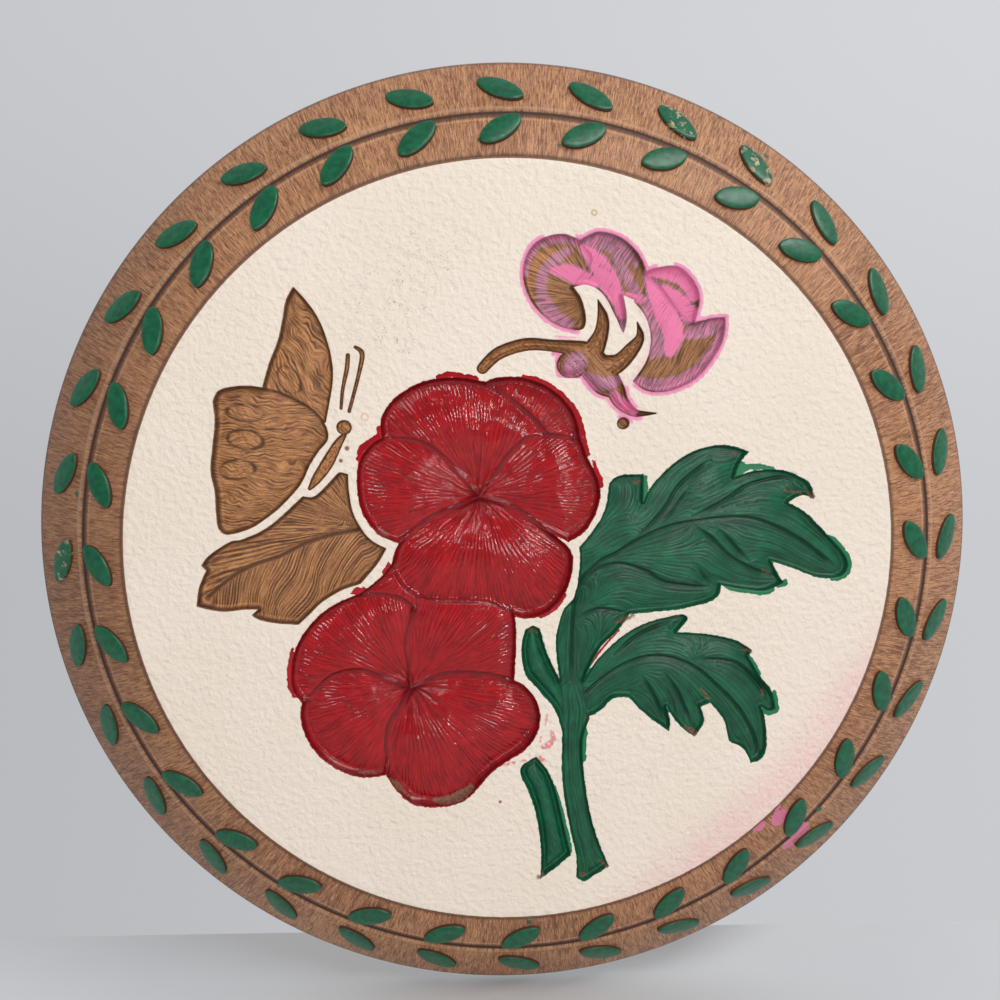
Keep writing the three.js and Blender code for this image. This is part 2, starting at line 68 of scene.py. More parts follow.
EDGE_THICKNESS = 4.0      # of the board at its outer edge
BACK_BEVEL = 1.2          # rounding between the edge and the back
RIM_WIDTH = DIAMETER / 2 - FIELD_RADIUS
RIM_TOP = THICKNESS - FIELD_LIP
RIM_START_SLOPE = 0.3     # fall of the rim for each millimetre, next to the field
RIM_CURVE = (RIM_TOP - EDGE_THICKNESS - RIM_START_SLOPE * RIM_WIDTH) / RIM_WIDTH ** 2
VEIN_RADIUS = 132.7       # raised stem that runs round the rim
VEIN_HALF_WIDTH = 1.3
VEIN_HEIGHT = 0.6
CREASE_RADIUS = 131.0     # groove beside the vein
CREASE_HALF_WIDTH = 0.9
CREASE_DEPTH = 0.36
BOARD_SIDES = 384

GARLAND_PAIRS = 32
# the garland's rows: radius, angle of the first leaf, tilt from the vein, length and width of a leaf,
# and how worn the paint is on the leaves that are worn, by number
GARLAND_ROWS = {
    "leaves_outer": (139.2, 91.3, 30.0, (15.6, 7.5), {30: 0.3, 29: 0.35, 8: 0.3}),
    "leaves_inner": (125.8, 91.5, -36.0, (14.8, 7.3), {}),
}
LEAF_SIDES = 44
LEAF_POINT = 1.2          # over 1 draws the leaf's ends out to points
LEAF_SUNK = 0.7           # how deep a leaf goes into the rim
LEAF_SECTION = ((1.0, 0.7), (0.985, 0.92), (0.95, 1.06), (0.88, 1.16), (0.76, 1.24), (0.6, 1.31),
                (0.4, 1.36), (0.2, 1.38))     # share of the leaf's size, and height above the rim

FINE = 0.28               # spacing of the mesh where it is carved
COARSE = 2.4              # and on the plain field
MARGIN = 1.8              # fine mesh round each form
DOME_REACH = 6.0          # how far from its walls a form goes on rising
STEM_REACH = 1.6          # the same for stems
FAR = 3.0                 # distances to a paint's edge are held up to this

# ---- outlines: runs of control points with a corner between one run and the next ----
# A run starts where the run before it ends, and the first where the last one ends.
BUTTERFLY_AND_LEAF = {
    "upperWing": [
      [[-60, 75.3], [-57, 70.7], [-54.9, 65.3], [-53.4, 59], [-53.2, 52], [-55.5, 40]],
      [[-66, 42], [-74, 50.7]],
      [[-71.9, 57.5], [-69, 64.5], [-67.6, 70.5], [-66.4, 76], [-64.2, 80]],
    ],
    "lowerWing": [
      [[-87.2, 49.4], [-84, 50.6], [-79, 51.1], [-74, 50.6], [-69.3, 49.5], [-64.2, 47.3], [-60, 44.7],
       [-56.6, 41.2], [-54.9, 37.5], [-55.2, 34.6], [-57.5, 31.9]],
      [[-60.4, 27.5], [-63.3, 21.7], [-68.4, 15.9], [-73.5, 11.6], [-79, 8.2], [-85.6, 6.5],
       [-88.2, 8.4], [-88.8, 13], [-89, 19.5], [-90, 26], [-89.1, 34], [-88.3, 40.5], [-88.7, 46.5]],
    ],
    "brownLeaf": [
      [[-49, 20], [-47.8, 13], [-45, 7.5], [-42, 4.3], [-37.9, 2.1]],
      [[-41, -3], [-46, -8.8]],
      [[-52, -10.9], [-57.7, -14.4], [-61.2, -17.8], [-64.9, -21.3]],
      [[-71.2, -20.9], [-76.5, -19.8], [-79.1, -18.3]],
      [[-77.2, -16.5]],
      [[-81.4, -16.5], [-88, -17.1], [-95.6, -15.5]],
      [[-94.6, -9.5], [-92.3, -4.4]],
      [[-93.8, -2.9]],
      [[-91.2, 0.3], [-85, 4.3], [-80.9, 5.2], [-73, 9.1], [-62.8, 18.1]],
      [[-59.5, 18], [-56, 21], [-53, 24.3]],
      [[-51.6, 25.3], [-49.1, 24.7]],
    ],
}

UPPER_PANSY = {
    "backPetal": [
      [[-5.2, 53.3], [-0.5, 53.7], [4.5, 53.3], [10.7, 50.9], [16, 46.7], [19.4, 41.3], [20.9, 34.5]],
      [[5, 30], [-8, 52.2]],
    ],
    "topPetal": [
      [[-39.3, 40], [-37.7, 44.2], [-34, 48.2], [-28, 51.7], [-22, 53.3], [-15, 53.5], [-7.6, 52.2]],
      [[-2, 49.4], [4, 44.8], [9, 40], [13, 35]],
      [[-9.8, 17.8]],
      [[-39.1, 35.6]],
    ],
    "leftPetal": [
      [[-12.1, 21.4], [-17.7, 28], [-22.8, 32.6], [-28, 35.3], [-34, 36.1], [-39.1, 35.6],
       [-43.3, 32.6], [-46, 28], [-46.6, 21], [-45.4, 13.7], [-42, 8], [-38.5, 5.3], [-34.2, 3.6]],
      [[-9.8, 17.8]],
    ],
    "rightPetal": [
      [[-7, 23], [-3, 29], [0.6, 33.3], [4, 35.8], [8, 36.8], [14, 36.9], [20.4, 35.1], [23, 29.3],
       [26, 23.5], [26.9, 18], [25.4, 12], [22, 6.7], [17.3, 3.7]],
      [[-9.8, 17.8]],
    ],
    "lipPetal": [
      [[-3, 16.6], [3.2, 14], [8.5, 10.3], [13, 6.1], [17.6, 1.8], [18.8, -3], [17.5, -9.5],
       [14.6, -14.8], [10.5, -18.4], [4.5, -20], [-1.5, -18], [-8, -15.9], [-20, -15.5], [-28, -14],
       [-33, -11], [-36, -6.5], [-36.7, -3]],
      [[-34.2, 3.8], [-29.3, 9.3], [-23, 13.2], [-16, 15.8], [-9.8, 17.8]],
    ],
}

LOWER_PANSY = {
    "scrapPetal": [
      [[-40, -6.9], [-46.5, -12]],
      [[-32, -17], [-25, -14.6], [-29, -6], [-36, -2]],
    ],
    "topPetal": [
      [[-35, -12.5], [-44.7, -11.7], [-50, -13.2], [-55.8, -16.2], [-60.5, -20.3], [-64.5, -25.5],
       [-67, -31.5], [-67.8, -38], [-67, -42.7], [-64.4, -46]],
      [[-31, -41.5]],
      [[-29.6, -16]],
    ],
    "rightPetal": [
      [[-33.4, -30], [-32.6, -23.5], [-29.6, -16]],
      [[-28, -12], [-15, -10], [0.4, -15]],
      [[1.4, -23], [1.3, -31], [0.7, -40]],
      [[-31, -41.5]],
    ],
    "leftPetal": [
      [[-36, -39.8], [-41.5, -36.9], [-47, -35.3], [-53, -36], [-58, -38.8], [-64.4, -45.8]],
      [[-65.1, -50], [-63.9, -56], [-60.4, -62.1], [-55, -66.8], [-49, -69.5], [-44, -70.1],
       [-39.1, -69.4]],
      [[-31, -41.5]],
    ],
    "lipPetal": [
      [[-28.3, -40.2], [-23, -37.4], [-16, -36.5], [-8, -37], [0.7, -39.3], [5, -42.1], [8, -46.4],
       [9, -51.5], [7.8, -57], [4, -62], [-4, -67.3], [-8.5, -71.7], [-13, -76.8], [-18, -79.4],
       [-24.7, -80.1], [-31, -78.9], [-35.5, -74.8], [-39.1, -69.4]],
      [[-39.9, -60], [-38.7, -53], [-35, -47.3], [-31, -41.5]],
    ],
}

PINK_PANSY = {
    "hookPetal": [
      [[14.8, 95.4], [8.8, 94], [5, 90.5], [3.2, 84.5], [4.6, 78], [8.3, 72.6], [14, 68.7],
       [20.4, 67.5], [22, 70.5], [20.7, 76.3], [18.3, 80]],
      [[24, 88], [20, 93.7]],
    ],
    "topPetal": [
      [[25.5, 96], [32, 94.4], [37, 90.2], [39.8, 84.9]],
      [[40.4, 80.5], [39, 75.3]],
      [[36, 76.5], [33, 77.7]],
      [[34.1, 71.2], [33.2, 66.2]],
      [[30.7, 71.6], [27, 78], [22.3, 80.7], [18.3, 80]],
      [[15, 88], [20, 93.7]],
    ],
    "sidePetal": [
      [[44.1, 86], [49.2, 86], [53.6, 82.3], [55.8, 76.8], [54.3, 69.3]],
      [[44, 74], [38.4, 84.2]],
    ],
    "skirtPetal": [
      [[44.1, 80.9], [50.6, 72.6], [54.3, 69.7]],
      [[59, 70.9], [63.6, 71.4]],
      [[63.4, 66], [60.8, 60], [55.3, 53.3], [48, 49.7], [41, 49.4], [36.2, 52.3]],
      [[40.2, 58.5], [41.4, 65], [39.8, 71.3], [36.2, 75.8]],
      [[39, 84.4]],
    ],
}

GREENERY = {
    "largeLeaf": [
      [[32.5, 24], [40, 24.5]],
      [[40, 15.9]],
      [[42.2, 20.5], [47.8, 26.6], [54.3, 31], [61.8, 33.2], [68, 32.6], [71.9, 31.2]],
      [[69.2, 27.5], [67.8, 23.5]],
      [[73.9, 25.4], [82.2, 25.6], [88.7, 23.1], [91.5, 20.5], [92.3, 16.8]],
      [[88.5, 17.8], [84.6, 15.6]],
      [[90.1, 12.4], [95.3, 7.3], [102.2, 0], [103.8, -4.6], [101, -7.7], [94, -7.5], [86.9, -4.8],
       [80, -2.5]],
      [[82.2, -6.9], [84.1, -9.3]],
      [[78, -11.8], [70, -11.1], [64.5, -10]],
      [[63.6, -13.3], [59.9, -15.5], [51.5, -17.4], [44, -18.1], [36.4, -18.8]],
      [[32.5, -24.1], [27, -30], [22.3, -39.9]],
      [[23.1, -44], [24.3, -51], [22.3, -59], [22.8, -70], [24.5, -81], [27.2, -91], [30.9, -100.2]],
      [[27, -103], [23, -105.2], [20.6, -103.6]],
      [[20.6, -97], [18.2, -86], [16, -72], [15.8, -56], [15.5, -46], [14.9, -39], [13.9, -32],
       [13.6, -25.5]],
      [[15.8, -17.6], [19.3, -12.9], [20.8, -4], [20.7, 2.1]],
      [[26, 9], [28.7, 15.2], [29.5, 21.7]],
    ],
    "smallLeaf": [
      [[22.3, -39.9]],
      [[27, -32.6], [34.8, -25.3], [43, -21.1], [52.5, -18.9]],
      [[54.4, -20.3], [51.1, -24.6]],
      [[60, -25.2], [69.2, -27.2], [74.6, -30.4]],
      [[73.6, -32.4]],
      [[77.5, -38.8], [81.3, -43.7], [82.8, -49.4]],
      [[80.8, -50.3], [78.4, -49]],
      [[79.7, -54], [80.2, -62], [78.5, -65.7], [75.5, -66.9]],
      [[72.7, -62], [68.4, -59.4], [66.6, -53], [62, -47.1]],
      [[59.1, -48.4]],
      [[60.2, -53.5], [57.3, -58]],
      [[53.7, -55.5], [50.4, -51.7], [48.5, -48.5]],
      [[49.6, -53], [49.3, -56.2]],
      [[45, -53.2], [40.3, -49.3], [36.4, -45.1]],
      [[31.6, -45.5], [27.9, -49.2], [24.3, -51.2]],
      [[16.5, -46]],
    ],
    "bud": [
      [[6.5, -22.2], [8.7, -23.2]],
      [[11.3, -31.6], [16.4, -42.2]],
      [[18, -52], [15.8, -56]],
      [[13.5, -49], [8.3, -42.5], [4.2, -37.2], [3, -29.5], [4.2, -23.6]],
    ],
    "stubStem": [
      [[11.6, -69], [14.4, -77], [16.2, -85], [18.9, -96.4]],
      [[13.5, -101], [9.2, -104.2]],
      [[9.4, -95], [8, -84], [5.5, -75.5], [3.1, -70.5], [3.3, -67], [7.6, -64]],
    ],
}

# ---- forms drawn as strokes of [x, y, width] ----
CALYX = [
  [[-8.8, 56.2, 3.4], [-4, 60.6, 3.8], [4, 63.2, 3.8], [12, 62.9, 3.6], [18, 62, 5], [22, 60, 8],
    [25, 57, 9]],
  [[23.5, 60, 7], [26.4, 66, 4.6], [27, 71, 3.4], [25.5, 76.3, 0.4]],
  [[25, 56, 9], [31.5, 57.6, 5.6], [35.8, 61.8, 4.4], [38.2, 65.5, 2.6], [37.3, 69.8, 0.4]],
  [[24, 58, 9], [27.5, 53, 9], [30.8, 50, 6], [33, 46, 4.4], [37, 43, 2.4], [43.4, 42.8, 0.5]],
  [[21, 59, 6], [18.3, 57.5, 8.6], [16.8, 57.2, 7]],
]

FEELERS = [
  [[-48.6, 60, 1.3], [-49, 56, 1.4], [-50.3, 50, 1.1], [-50.9, 44.4, 1]],
  [[-46.4, 62.4, 1], [-44.4, 60.4, 1.5], [-45.6, 54, 1.2], [-48.5, 43.5, 1.1]],
]

BODY = [[-50.1, 36.4, 1.5], [-52.2, 33.5, 2.8], [-55.3, 28, 3.7], [-58.5, 23.4, 3], [-60.7, 20.4, 1.2]]
ROUNDELS = [[-50.1, 38.7, 2.2], [33.5, 39.8, 1.8]]      # head and seed: x, y, radius


# ---- paint that ran over an outline, and places where it wore off or missed: strokes of [x, y, width] ----
RED_RUNS = [
    [[-21.8, 53.6, 0.9], [-20, 54.6, 1.3], [-18.6, 54.8, 1.5], [-14, 53.9, 1.3], [-10.5, 53, 0.6]],
    [[3.5, 53.6, 0.5], [8, 52.8, 1.2], [11.5, 51.2, 1.6], [14.5, 48.8, 1]],
    [[14.5, 48.6, 0.8], [18, 45.4, 1.6], [20, 42, 1.8], [21.2, 38, 1.6], [22.2, 34, 1.4], [23, 30.8, 0.8]],
    [[25, 28.5, 0.7], [26.2, 25, 1.2], [27, 23, 1.6], [26.8, 21, 0.8]],
    [[-46.2, 29.5, 0.9], [-45.2, 32.4, 1.9], [-43, 34.1, 2], [-40.5, 36, 1.6], [-39.7, 38.4, 0.9]],
    [[-67.4, -29, 0.6], [-68, -36, 1.1], [-67.8, -40, 1.3], [-66.6, -43.4, 0.9]],
    [[-48.4, -11.2, 1], [-46.8, -10.6, 2.3], [-45.2, -11, 1.7]],
    [[-38.2, -2.2, 0.4], [-37.3, -3.6, 1.3], [-38.4, -5.2, 1]],
    [[9, -18.9, 0.9], [13, -16.6, 1.1], [16, -12.6, 0.7]],
    [[32.8, -23.9, 1.5], [30, -27, 1.1], [27, -30.8, 1.2], [24.6, -34, 1.3], [22.8, -37.2, 1]],
]
RED_SMEARS = [
    [[-2.4, -66.6, 0.9], [0, -66, 1.2], [1.6, -65.4, 0.6]],
    [[2.8, -65.6, 0.8], [4.4, -65.2, 0.9]],
    [[7.4, -63.4, 0.6], [9.2, -64.6, 2], [10.6, -65.4, 0.8]],
    [[9.8, -61, 1.4], [11.6, -60, 2.6], [12.8, -58.4, 1], [12.2, -55.4, 0.7]],
    [[10.6, -53.8, 0.5], [10.9, -51.4, 0.9], [11.2, -50, 0.3]],
    [[9, -59, 0.7], [9.3, -57.4, 0.7]],
    [[13, -56, 0.5], [13.6, -58.6, 0.6]],
]
GREEN_RUNS = [
    [[67.2, 23.8, 1], [69.5, 26.1, 2.6], [72, 27, 1.6], [76, 26.9, 1.5], [79, 25.9, 0.7]],
    [[40.4, 23.4, 0.7], [40.2, 19.6, 1.3], [40, 16.2, 0.9]],
    [[64, -7, 1.2], [66.5, -9.9, 1.5], [70, -11.3, 1], [74, -11.5, 1.3], [77.5, -12.1, 1.6],
     [80, -11.2, 1.3]],
    [[82.3, -9.9, 1], [84.6, -9.2, 1.3]],
    [[97, 4.8, 0.8], [100, 3.2, 1.4], [102.7, 0, 1.6], [103.9, -4, 1.4], [102.4, -7.1, 1.2], [99, -8, 0.8]],
    [[72.5, -31.7, 1], [74.6, -34.4, 1.3], [76.8, -38, 1]],
    [[22.6, -54, 0.5], [22.9, -58, 1.3], [22.7, -62, 1], [22.6, -65, 0.5]],
    [[22.4, -39.9, 1.3], [24, -37.6, 1], [24.8, -36.3, 0.5]],
    [[82.2, -44, 0.6], [83.1, -48, 1], [82, -50.6, 1.1], [79, -49.8, 1]],
    [[9.6, -67.6, 0.6], [13, -74, 0.9], [15.6, -82, 0.8], [18.6, -95, 0.8]],
]
BARE_RED = [
    [[-47.4, -69, 0.8], [-44, -69.1, 1.5], [-40.6, -68.8, 0.9]],
    [[-37.6, -70.8, 1], [-35.4, -73.4, 1.9], [-32.6, -76.6, 1]],
    [[-24.4, -78.6, 1.4], [-20, -78.4, 2.8], [-16, -76.9, 3.4], [-12.4, -74.4, 2.2]],
    [[-41, 7.8, 0.6], [-38.6, 6.2, 1.2], [-37, 5.4, 0.6]],
    [[16, 6.6, 0.9], [18.6, 8.2, 0.9], [23.6, 11.4, 0.7]],
    [[-49.6, -37.6, 1.1], [-48.2, -38.8, 0.5]],
]
BARE_GREEN = [
    [[66.4, 30, 1.1], [68.4, 30.4, 1.9]], [[49.4, 28, 0.6], [51.2, 28.8, 0.8]],
    [[37.4, 21.6, 1.3], [39, 22.2, 1.5]], [[83.4, 19.2, 1.3], [88.6, 18.6, 1.3]],
    [[90.4, 18.8, 1.4], [91.8, 17.6, 2.3]], [[67.6, 23.4, 0.8], [71, 24.1, 0.7]],
    [[52.6, 10.1, 0.4], [55, 10.8, 0.9], [59, 10.9, 0.4]], [[77.6, -5.4, 1.3], [79.4, -6.2, 1.7]],
    [[48.2, -19.6, 0.9], [51.6, -19.6, 1.4]], [[40.6, -23.2, 0.7], [46, -21.3, 0.8]],
    [[71.6, -30.7, 1], [74.4, -30.9, 1.7]], [[78.7, -44, 1.5], [79, -46, 1.2]],
    [[54.6, -55.3, 1.4], [57.6, -57.1, 2.2]], [[59.2, -42.8, 1.2], [61.8, -46.2, 1.4]],
    [[74.3, -56, 1], [74.5, -57.6, 0.8]], [[78.8, -60, 0.7], [79, -62.8, 0.7]],
    [[32.4, -21.8, 1.6], [37.4, -19.2, 1.7]], [[4.8, -23.2, 1], [8, -24.8, 1.3]],
    [[8.6, -103.6, 2.2], [10, -103, 1.6]], [[12, -99.4, 0.9], [14.4, -98.2, 0.8]],
    [[22.4, -103.6, 1.8], [24, -103.2, 1.2]], [[28, -99, 1.2], [30.4, -100.4, 1.7]],
    [[23.9, -51, 1.1], [22.8, -54, 0.8]], [[15.4, -46.4, 0.8], [16.6, -47.4, 0.6]],
]
# Pink paint brushed over the stain: share of cover, softness of its edge, stroke
PINK_STROKES = [
    (0.55, 1.2, [[20, 93.5, 3], [14, 94.6, 3.4], [8, 93, 3.2], [4.8, 89, 2.4], [3.8, 84, 2]]),
    (0.5, 1.6, [[17, 90.5, 2], [12.5, 88, 3], [9, 83, 3], [9, 77.5, 3.2], [12, 72, 4.6], [16.5, 69, 4]]),
    (1.0, 1.2, [[12, 85, 2], [16, 84.6, 4.4], [20, 83.2, 5], [24.5, 81.6, 3.4]]),
    (0.95, 1.2, [[21, 91.8, 2.4], [24.5, 88.4, 5], [27.6, 84, 6.6], [30, 79.8, 5.4], [32, 75.4, 3.6],
                 [33, 71.4, 2.4]]),
    (0.55, 2.2, [[22, 93.6, 4], [28, 93.4, 5], [33, 91, 3.4], [36.6, 87, 2]]),
    (0.5, 1.4, [[31, 88.6, 3], [34, 83.6, 3], [37, 78.6, 3]]),
    (0.75, 0.8, [[33, 77.6, 2], [36.6, 77, 3.4], [39.4, 76.6, 2.4]]),
    (0.5, 0.8, [[33.2, 69.6, 2], [33.2, 66.4, 1.6]]),
    (0.95, 0.8, [[40.6, 84.6, 2.6], [46, 84.6, 4.4], [51.4, 82.4, 4.6], [54.2, 77.6, 3.2]]),
    (0.95, 1.2, [[45, 80.4, 1.6], [50, 76.4, 4.6], [53, 72.4, 5.4]]),
    (1.0, 0.9, [[40.4, 83, 2], [43, 78.4, 5], [46.2, 72.4, 7], [48.4, 66.6, 6.4], [47.4, 61.4, 3.6]]),
    (0.55, 2.0, [[41, 74.6, 4], [43, 68, 4.6], [43, 61.4, 4.4]]),
    (0.6, 1.2, [[52.4, 66.4, 3], [58, 68, 5], [62, 69.4, 4]]),
    (0.6, 1.0, [[63, 67, 2.6], [60.4, 61, 3], [55.6, 55.2, 3.6], [49, 51.8, 4], [42.6, 51.4, 3.4],
                [37.8, 52.6, 2.4]]),
    (0.5, 1.4, [[19, 57.6, 6.4], [18, 56, 6]]),
    (0.5, 1.2, [[22.6, 53, 4], [27, 51.4, 4.4], [31.4, 52.4, 3]]),
    (0.85, 0.9, [[30.6, 48.6, 2], [33.4, 45.6, 3.4], [37, 43.4, 2.6]]),
]
# Bright pink that ran out past the carved edge
PINK_RUNS = [
    [[20.6, 95, 1.2], [25.6, 97.2, 2.4], [32.6, 95.6, 2.4], [38, 91, 2.2], [40.8, 86.6, 2]],
    [[49.6, 87, 0.8], [54.6, 83.4, 2.6], [56.8, 77.4, 2.6], [55.6, 71.4, 1.8]],
    [[59, 71.6, 0.5], [64, 72, 1], [64.6, 66.4, 2], [61.9, 59.8, 2], [56.2, 52.6, 2.2], [48.6, 48.8, 2.4],
     [41.6, 48.2, 2.2], [38, 50.4, 1.6]],
    [[8, 93.6, 0.8], [3.4, 89.6, 1.6], [2.2, 84, 2], [3.6, 77.4, 2.2], [7.6, 71.4, 2.4], [13.4, 67.8, 2],
     [18.4, 67, 1]],
    [[13.2, 60, 0.6], [14.2, 56.4, 1.8], [17, 53.9, 2.2], [20, 53, 1.8], [22.4, 50.6, 2], [27, 48.6, 1.2]],
    [[29.8, 47.6, 0.8], [32.4, 43.6, 1.2], [37.6, 41.2, 1]],
    [[34.6, 49.4, 0.8], [36.6, 47.4, 1.2], [36.2, 45.4, 0.8]],
]
PINK_HAZE = [      # the same, thin
    [[26.6, 79.6, 2], [28.4, 76.4, 2.4], [30.6, 71.4, 1.4]],
    [[36, 75, 1.6], [39.6, 71.6, 2], [40.8, 65, 2.2], [39.8, 58, 2.4], [36, 52.4, 3]],
    [[26, 50.4, 2.4], [31, 45.4, 2.2], [36, 42, 1.4]],
    [[33, 53.6, 1], [34.4, 49, 2], [37, 44.6, 2]],
]

# ---- detail inside the forms ----
WING_RINGS = [     # ovals cut into the wings: x, y, half-width, half-height, turn in degrees
    (-66.4, 52.8, 3.0, 4.6, 32), (-79.6, 43, 5.6, 2.5, -4), (-79.8, 35, 5.4, 2.8, -8),
    (-82.6, 26, 5.4, 2.9, 4),
]
BROWN_MIDRIB = [[-46.6, 7.6], [-55.3, 5.9], [-62.8, 3.5], [-70.2, -0.2], [-77.7, -2.7], [-84.7, -6.5],
                [-92.6, -13]]
BROWN_FAN = (-44.5, 8.5)
# Lines of the leaves: a number that grows across the leaf by one for each fine line, whether the line
# is a vein that is cut in, and its [x, y] points from the base outwards
LARGE_LINES = [
    (0, True, [[18.6, -40], [19.6, -14], [26, -3.4], [32, 0], [38, 3.8], [46, 7.7], [55.3, 9.9],
               [69.2, 11.1], [78.5, 9.3], [90, 3.3], [100.4, -4.8]]),
    (-8, True, [[55.3, 8.9], [60.8, 5.2], [67.3, -0.9], [73.9, -4.8], [81.4, -7.6]]),
    (-4, True, [[62.8, 8], [67.3, 3.8], [72.9, -2.8]]),
    (8, True, [[55.3, 11.2], [64.6, 15.9], [71.5, 20.5], [80.8, 23.1], [86, 22.6]]),
    (18, True, [[39.4, 5.6], [46.9, 14], [51.5, 21.4], [60.8, 28.9]]),
    (13, True, [[45, 9], [49.6, 13.6], [54, 20.4]]),
    (-18, True, [[20.9, -10.2], [26.5, -4.6], [33.4, -3.2], [41.3, -5.5], [48.3, -9.3], [61.8, -10.9]]),
    (-28, True, [[20, -20.9], [26.5, -17.4], [34.8, -18.6]]),
    (-12, True, [[56.5, -3.4], [59.4, -7.4], [62.4, -10.6]]),
    (34, False, [[20.9, 3], [26, 10], [29, 16], [31, 23]]),
    (26, False, [[40, 23], [39, 17], [36, 10]]),
    (24, False, [[41, 14], [44, 21], [49, 26.5], [55, 30.5], [62, 32.5], [69, 31.5]]),
    (12, False, [[58, 18], [64, 22], [69, 24], [76, 25], [84, 24.5], [90, 20]]),
    (5, False, [[66, 14], [76, 16], [85, 15], [92, 10.5], [99, 3.5], [103, -3]]),
    (-5, False, [[79, -2], [86, -5], [94, -7.5], [101, -7]]),
    (-12, False, [[64, -9.5], [71, -10.5], [78, -11.5], [83, -9]]),
    (-25, False, [[36, -18.5], [45, -17.5], [54, -16.5], [61, -14.5], [64, -11]]),
    (-35, False, [[24, -36], [29, -28], [33, -23], [36, -19]]),
    (5, False, [[14.5, -38], [14, -28], [15.5, -18], [19.3, -11], [20.7, -2]]),
    (-7, False, [[23, -44], [24.2, -52], [22.5, -60], [23, -70], [25, -81], [30, -98]]),
    (0, False, [[15.4, -46], [15.9, -58], [16.2, -72], [18.4, -86], [21, -100]]),
]
SMALL_LINES = [
    (0, True, [[16.8, -50], [19.4, -48.2], [21.8, -45.6], [29.7, -38.5], [39, -33.2], [48.3, -32.7],
               [57.6, -36.2], [65.5, -43.2], [71.5, -49.7], [76.2, -57.6], [78.6, -65]]),
    (11, True, [[58, -33.2], [70, -34.8], [77.6, -41.3], [81.2, -46.6]]),
    (-10, True, [[47.6, -37.6], [51.4, -43], [54.3, -49.2], [56, -54]]),
    (-16, True, [[40.6, -38.6], [44.4, -44.6], [47.3, -50.6], [48.6, -54]]),
    (8, True, [[32, -32], [38, -26.6], [44, -23.4], [49, -21.6]]),
    (14, False, [[24, -38.5], [30, -30], [36, -25], [43, -21.6], [52, -19.4]]),
    (8, False, [[53, -25], [61, -25.4], [69, -27.4], [74, -30.6]]),
    (9, False, [[79, -50], [79.6, -56], [80, -62], [78.6, -65.6]]),
    (-4, False, [[62.5, -46.6], [66.4, -53], [68.4, -59], [72.6, -62], [75.5, -66]]),
    (-12, False, [[50.6, -51.6], [54, -55.3], [57, -57.4]]),
    (-22, False, [[26, -50], [31.6, -45.8], [36.4, -45.3], [41, -49.6], [48.5, -55.6]]),
]
LEAF_LINES = {"large": LARGE_LINES, "small": SMALL_LINES}

# ---- marks in the plain paint, and touches of paint on the rim: x, y, radius ----
SPECKS = [(-49.3, 32.5, 0.7), (-51.2, 28.8, 0.6), (-3.5, -78.5, 0.5), (33.5, 39.8, 1.7)]
CRACKED = [        # where the cream paint crackled
    (-41, 72, 12), (-26, 86, 14), (28, -76, 6), (13.5, -69, 3.5), (45, -70, 3), (6.5, 95, 4), (-33, 64, 5),
]
GREEN_TOUCHES = [(79.3, 121.6, 0.8), (-132.9, 18.1, 0.9), (118.8, -40.6, 1.0), (100.2, -85.5, 0.9),
                 (-102.8, -77.1, 0.7), (5.9, -119.4, 0.9), (-9.6, 122.5, 0.7), (13.8, 121, 0.6)]
PINK_BLOTS = [(86, -86, 3.2), (94, -93, 3.6), (79, -88, 2.2), (84, -81, 1.8), (91, -98, 2)]

# ---- how the field is split into blocks: lines that run between the forms ----
ON_RIM = {"A": (-12, 116.886), "B": (110.1, 41.045), "C": (115.786, -20), "D": (-3, -117.462),
          "E": (-110, -41.307)}
MEETS = {"P": (-38.4, -1.5), "Q": (-34, 58), "R": (2.9, -21.3), "S": (28.5, 36), "T": (10.5, -21.2)}
SEAMS = {
    "QA": [(-14, 80)],
    "QP": [(-38.3, 51), (-42, 44), (-43.8, 39.5), (-47, 35), (-48.1, 28), (-47.9, 22), (-47.2, 16),
           (-46.4, 12.4), (-43.5, 7.3), (-39.9, 3.9), (-36.3, 2.1)],
    "PE": [(-40.2, -4.6), (-43.6, -8.2), (-46.9, -10.4), (-51, -12.1), (-56.8, -15.4), (-60.9, -19.2),
           (-65.2, -23.7), (-72, -28)],
    "PR": [(-38.3, -4.6), (-36.8, -8.6), (-34, -12.7), (-28.6, -15.8), (-20, -17.2), (-8, -17.6),
           (-2.2, -19.5), (0.6, -20.7)],
    "RT": [(6, -21.1)],
    "TS": [(12.8, -19.3), (16.2, -15), (18.5, -10), (19.8, -3), (19.2, 2), (21.2, 4.7), (24.8, 9),
           (27.4, 15), (28, 21.7), (28.2, 26)],
    "SQ": [(25.5, 41), (23.6, 46), (21.3, 49.2), (17.8, 51.2), (14.6, 53.2), (10.5, 55), (3, 55.8),
           (-4, 55), (-8, 53.9), (-12.4, 56), (-16, 57), (-23, 57.4)],
    "SB": [(45, 37.5), (60, 39.5)],
    "TC": [(11.6, -26), (12.6, -32), (15.2, -39.5), (16.3, -42.3), (20, -42.6), (22.3, -40), (24.4, -36),
           (29.7, -28.7), (34.2, -23.9), (40, -20.5), (47, -19), (54.6, -18.1), (62, -19.4), (72, -20)],
    "RD": [(2.3, -27), (2, -32), (2.4, -36.6), (5.4, -40.7), (8.6, -44.7), (11, -49), (12.4, -56),
           (11.2, -60.5), (8.3, -62.3), (5.2, -63.3), (2.8, -64.9), (1, -67.6), (0.8, -73), (0, -90)],
}
BLOCKS = {         # the corners of each block, anticlockwise
    "butterfly": "AEPQ", "upper_pansy": "QPRTS", "lower_pansy": "EDRP", "pink_pansy": "BAQS",
    "large_leaf": "CBST", "small_leaf": "DCTR",
}

